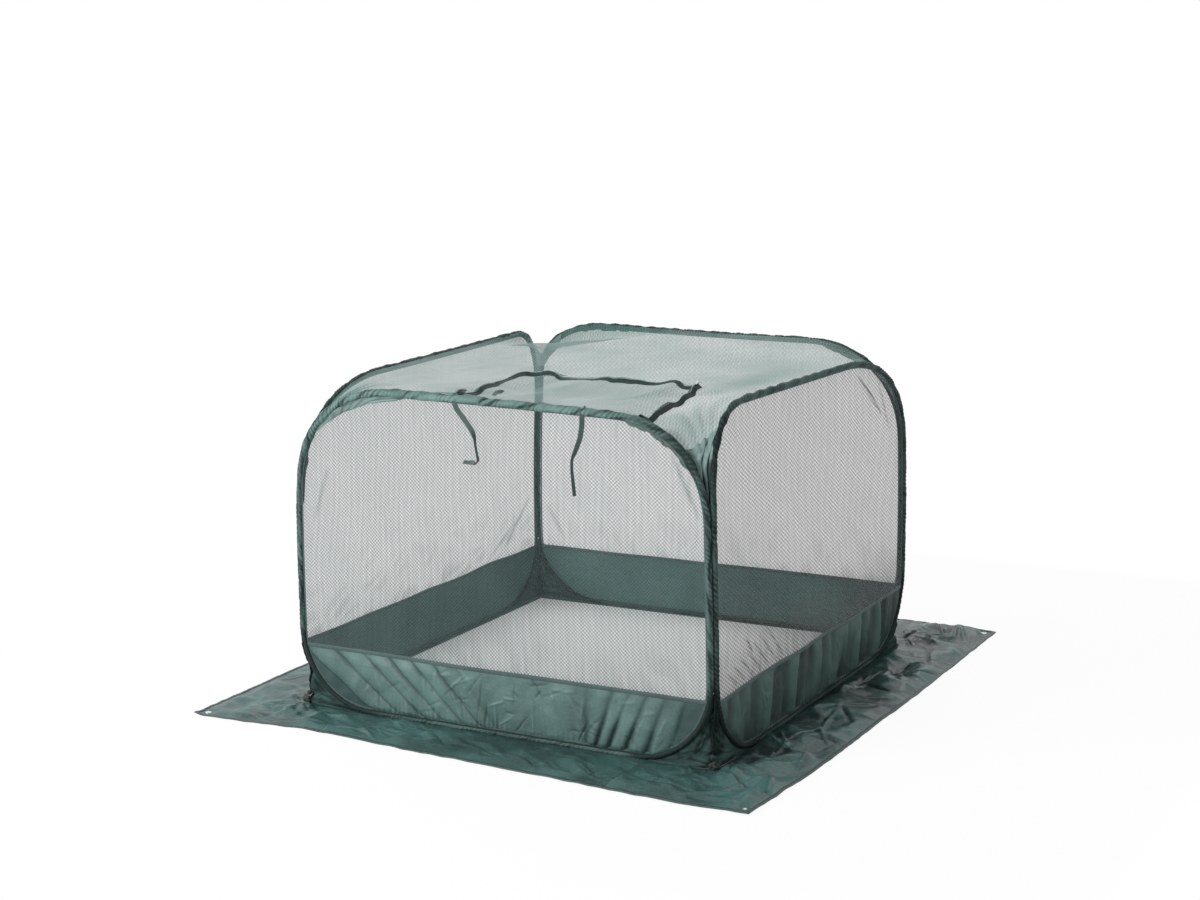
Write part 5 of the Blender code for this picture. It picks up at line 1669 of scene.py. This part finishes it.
def seenRays(tree):
    # What the camera, a mirror or glass sees.
    path = put(tree, "ShaderNodeLightPath").outputs
    return calc(tree, "MAXIMUM", path["Is Camera Ray"],
                calc(tree, "MAXIMUM", path["Is Glossy Ray"], path["Is Transmission Ray"]))


def showPure(tree, surface, output, amount):
    # Where it is seen, the floor reads white; its shadow stays.
    glow = put(tree, "ShaderNodeEmission")
    glow.inputs["Color"].default_value = (1, 1, 1, 1)
    glow.inputs["Strength"].default_value = 1.0
    mix = put(tree, "ShaderNodeMixShader")
    feed(tree, mix.inputs[0], calc(tree, "MULTIPLY", seenRays(tree), amount))
    tree.links.new(surface, mix.inputs[1])
    tree.links.new(glow.outputs[0], mix.inputs[2])
    tree.links.new(mix.outputs[0], output)


bm = bmesh.new()
bmesh.ops.create_grid(bm, x_segments=1, y_segments=1, size=30)
floorMaterial, floorTree, floorSockets = newMaterial("paleFloor", 0.9, Specular_IOR_Level=0.1)
floorSockets["Base Color"].default_value = (stageLook["floor"],) * 3 + (1,)
floorOut = next(n for n in floorTree.nodes if n.type == "OUTPUT_MATERIAL")
floorShader = next(n for n in floorTree.nodes if n.type == "BSDF_PRINCIPLED")
floorAxes = splitAxes(floorTree, put(floorTree, "ShaderNodeTexCoord").outputs["Object"])[:2]
across = calc(floorTree, "MAXIMUM", *(calc(floorTree, "ABSOLUTE", axis) for axis in floorAxes))
# Shaded under the greenhouse, nearly pure white round it and pure white far off
outside = remap(floorTree, across, half - 0.01, half + 0.01, stageLook["inside"],
                stageLook["pure"])
floorWhite = calc(floorTree, "MAXIMUM", outside,
                  remap(floorTree, across, stageLook["near"], stageLook["far"]))
showPure(floorTree, floorShader.outputs[0], floorOut.inputs["Surface"], floorWhite)
floor = makeObject(bm, "floor", floorMaterial, smooth=False)

world = bpy.data.worlds.new("softWorld")
bpy.context.scene.world = world
world.use_nodes = True
worldTree = world.node_tree
sky = next(n for n in worldTree.nodes if n.type == "BACKGROUND")
sky.inputs["Color"].default_value = (1, 1, 1, 1)
feed(worldTree, sky.inputs["Strength"],
     remap(worldTree, seenRays(worldTree), 0.0, 1.0, stageLook["world"], 1.0))


def addLamp(name, place, aim, size, power):
    lamp = bpy.data.lights.new(name, "AREA")
    lamp.shape, lamp.size, lamp.energy = "SQUARE", size, power
    holder = bpy.data.objects.new(name, lamp)
    bpy.context.scene.collection.objects.link(holder)
    holder.location = place
    holder.rotation_euler = (Vector(aim) - Vector(place)).to_track_quat("-Z", "Y").to_euler()


addLamp("keyLamp", place=(-2.6, -4.2, 2.6), aim=(0, 0, 0.35), size=2.6, power=250.0)
addLamp("fillLamp", place=(4.2, -1.2, 2.2), aim=(0, 0, 0.3), size=2.4, power=14.0)
addLamp("topLamp", place=(-0.8, 2.6, 3.4), aim=(0, 0, 0.3), size=2.4, power=55.0)

camera = bpy.data.objects.new("camera", bpy.data.cameras.new("camera"))
bpy.context.scene.collection.objects.link(camera)
camera.location = (2.5785, -4.6126, 1.6130)
camera.rotation_euler = (1.38441, 0.02240, 0.51051)
camera.data.sensor_width, camera.data.lens = 36.0, 60.166
bpy.context.scene.camera = camera
bpy.context.scene.view_settings.view_transform = "Standard"

print("scene made")
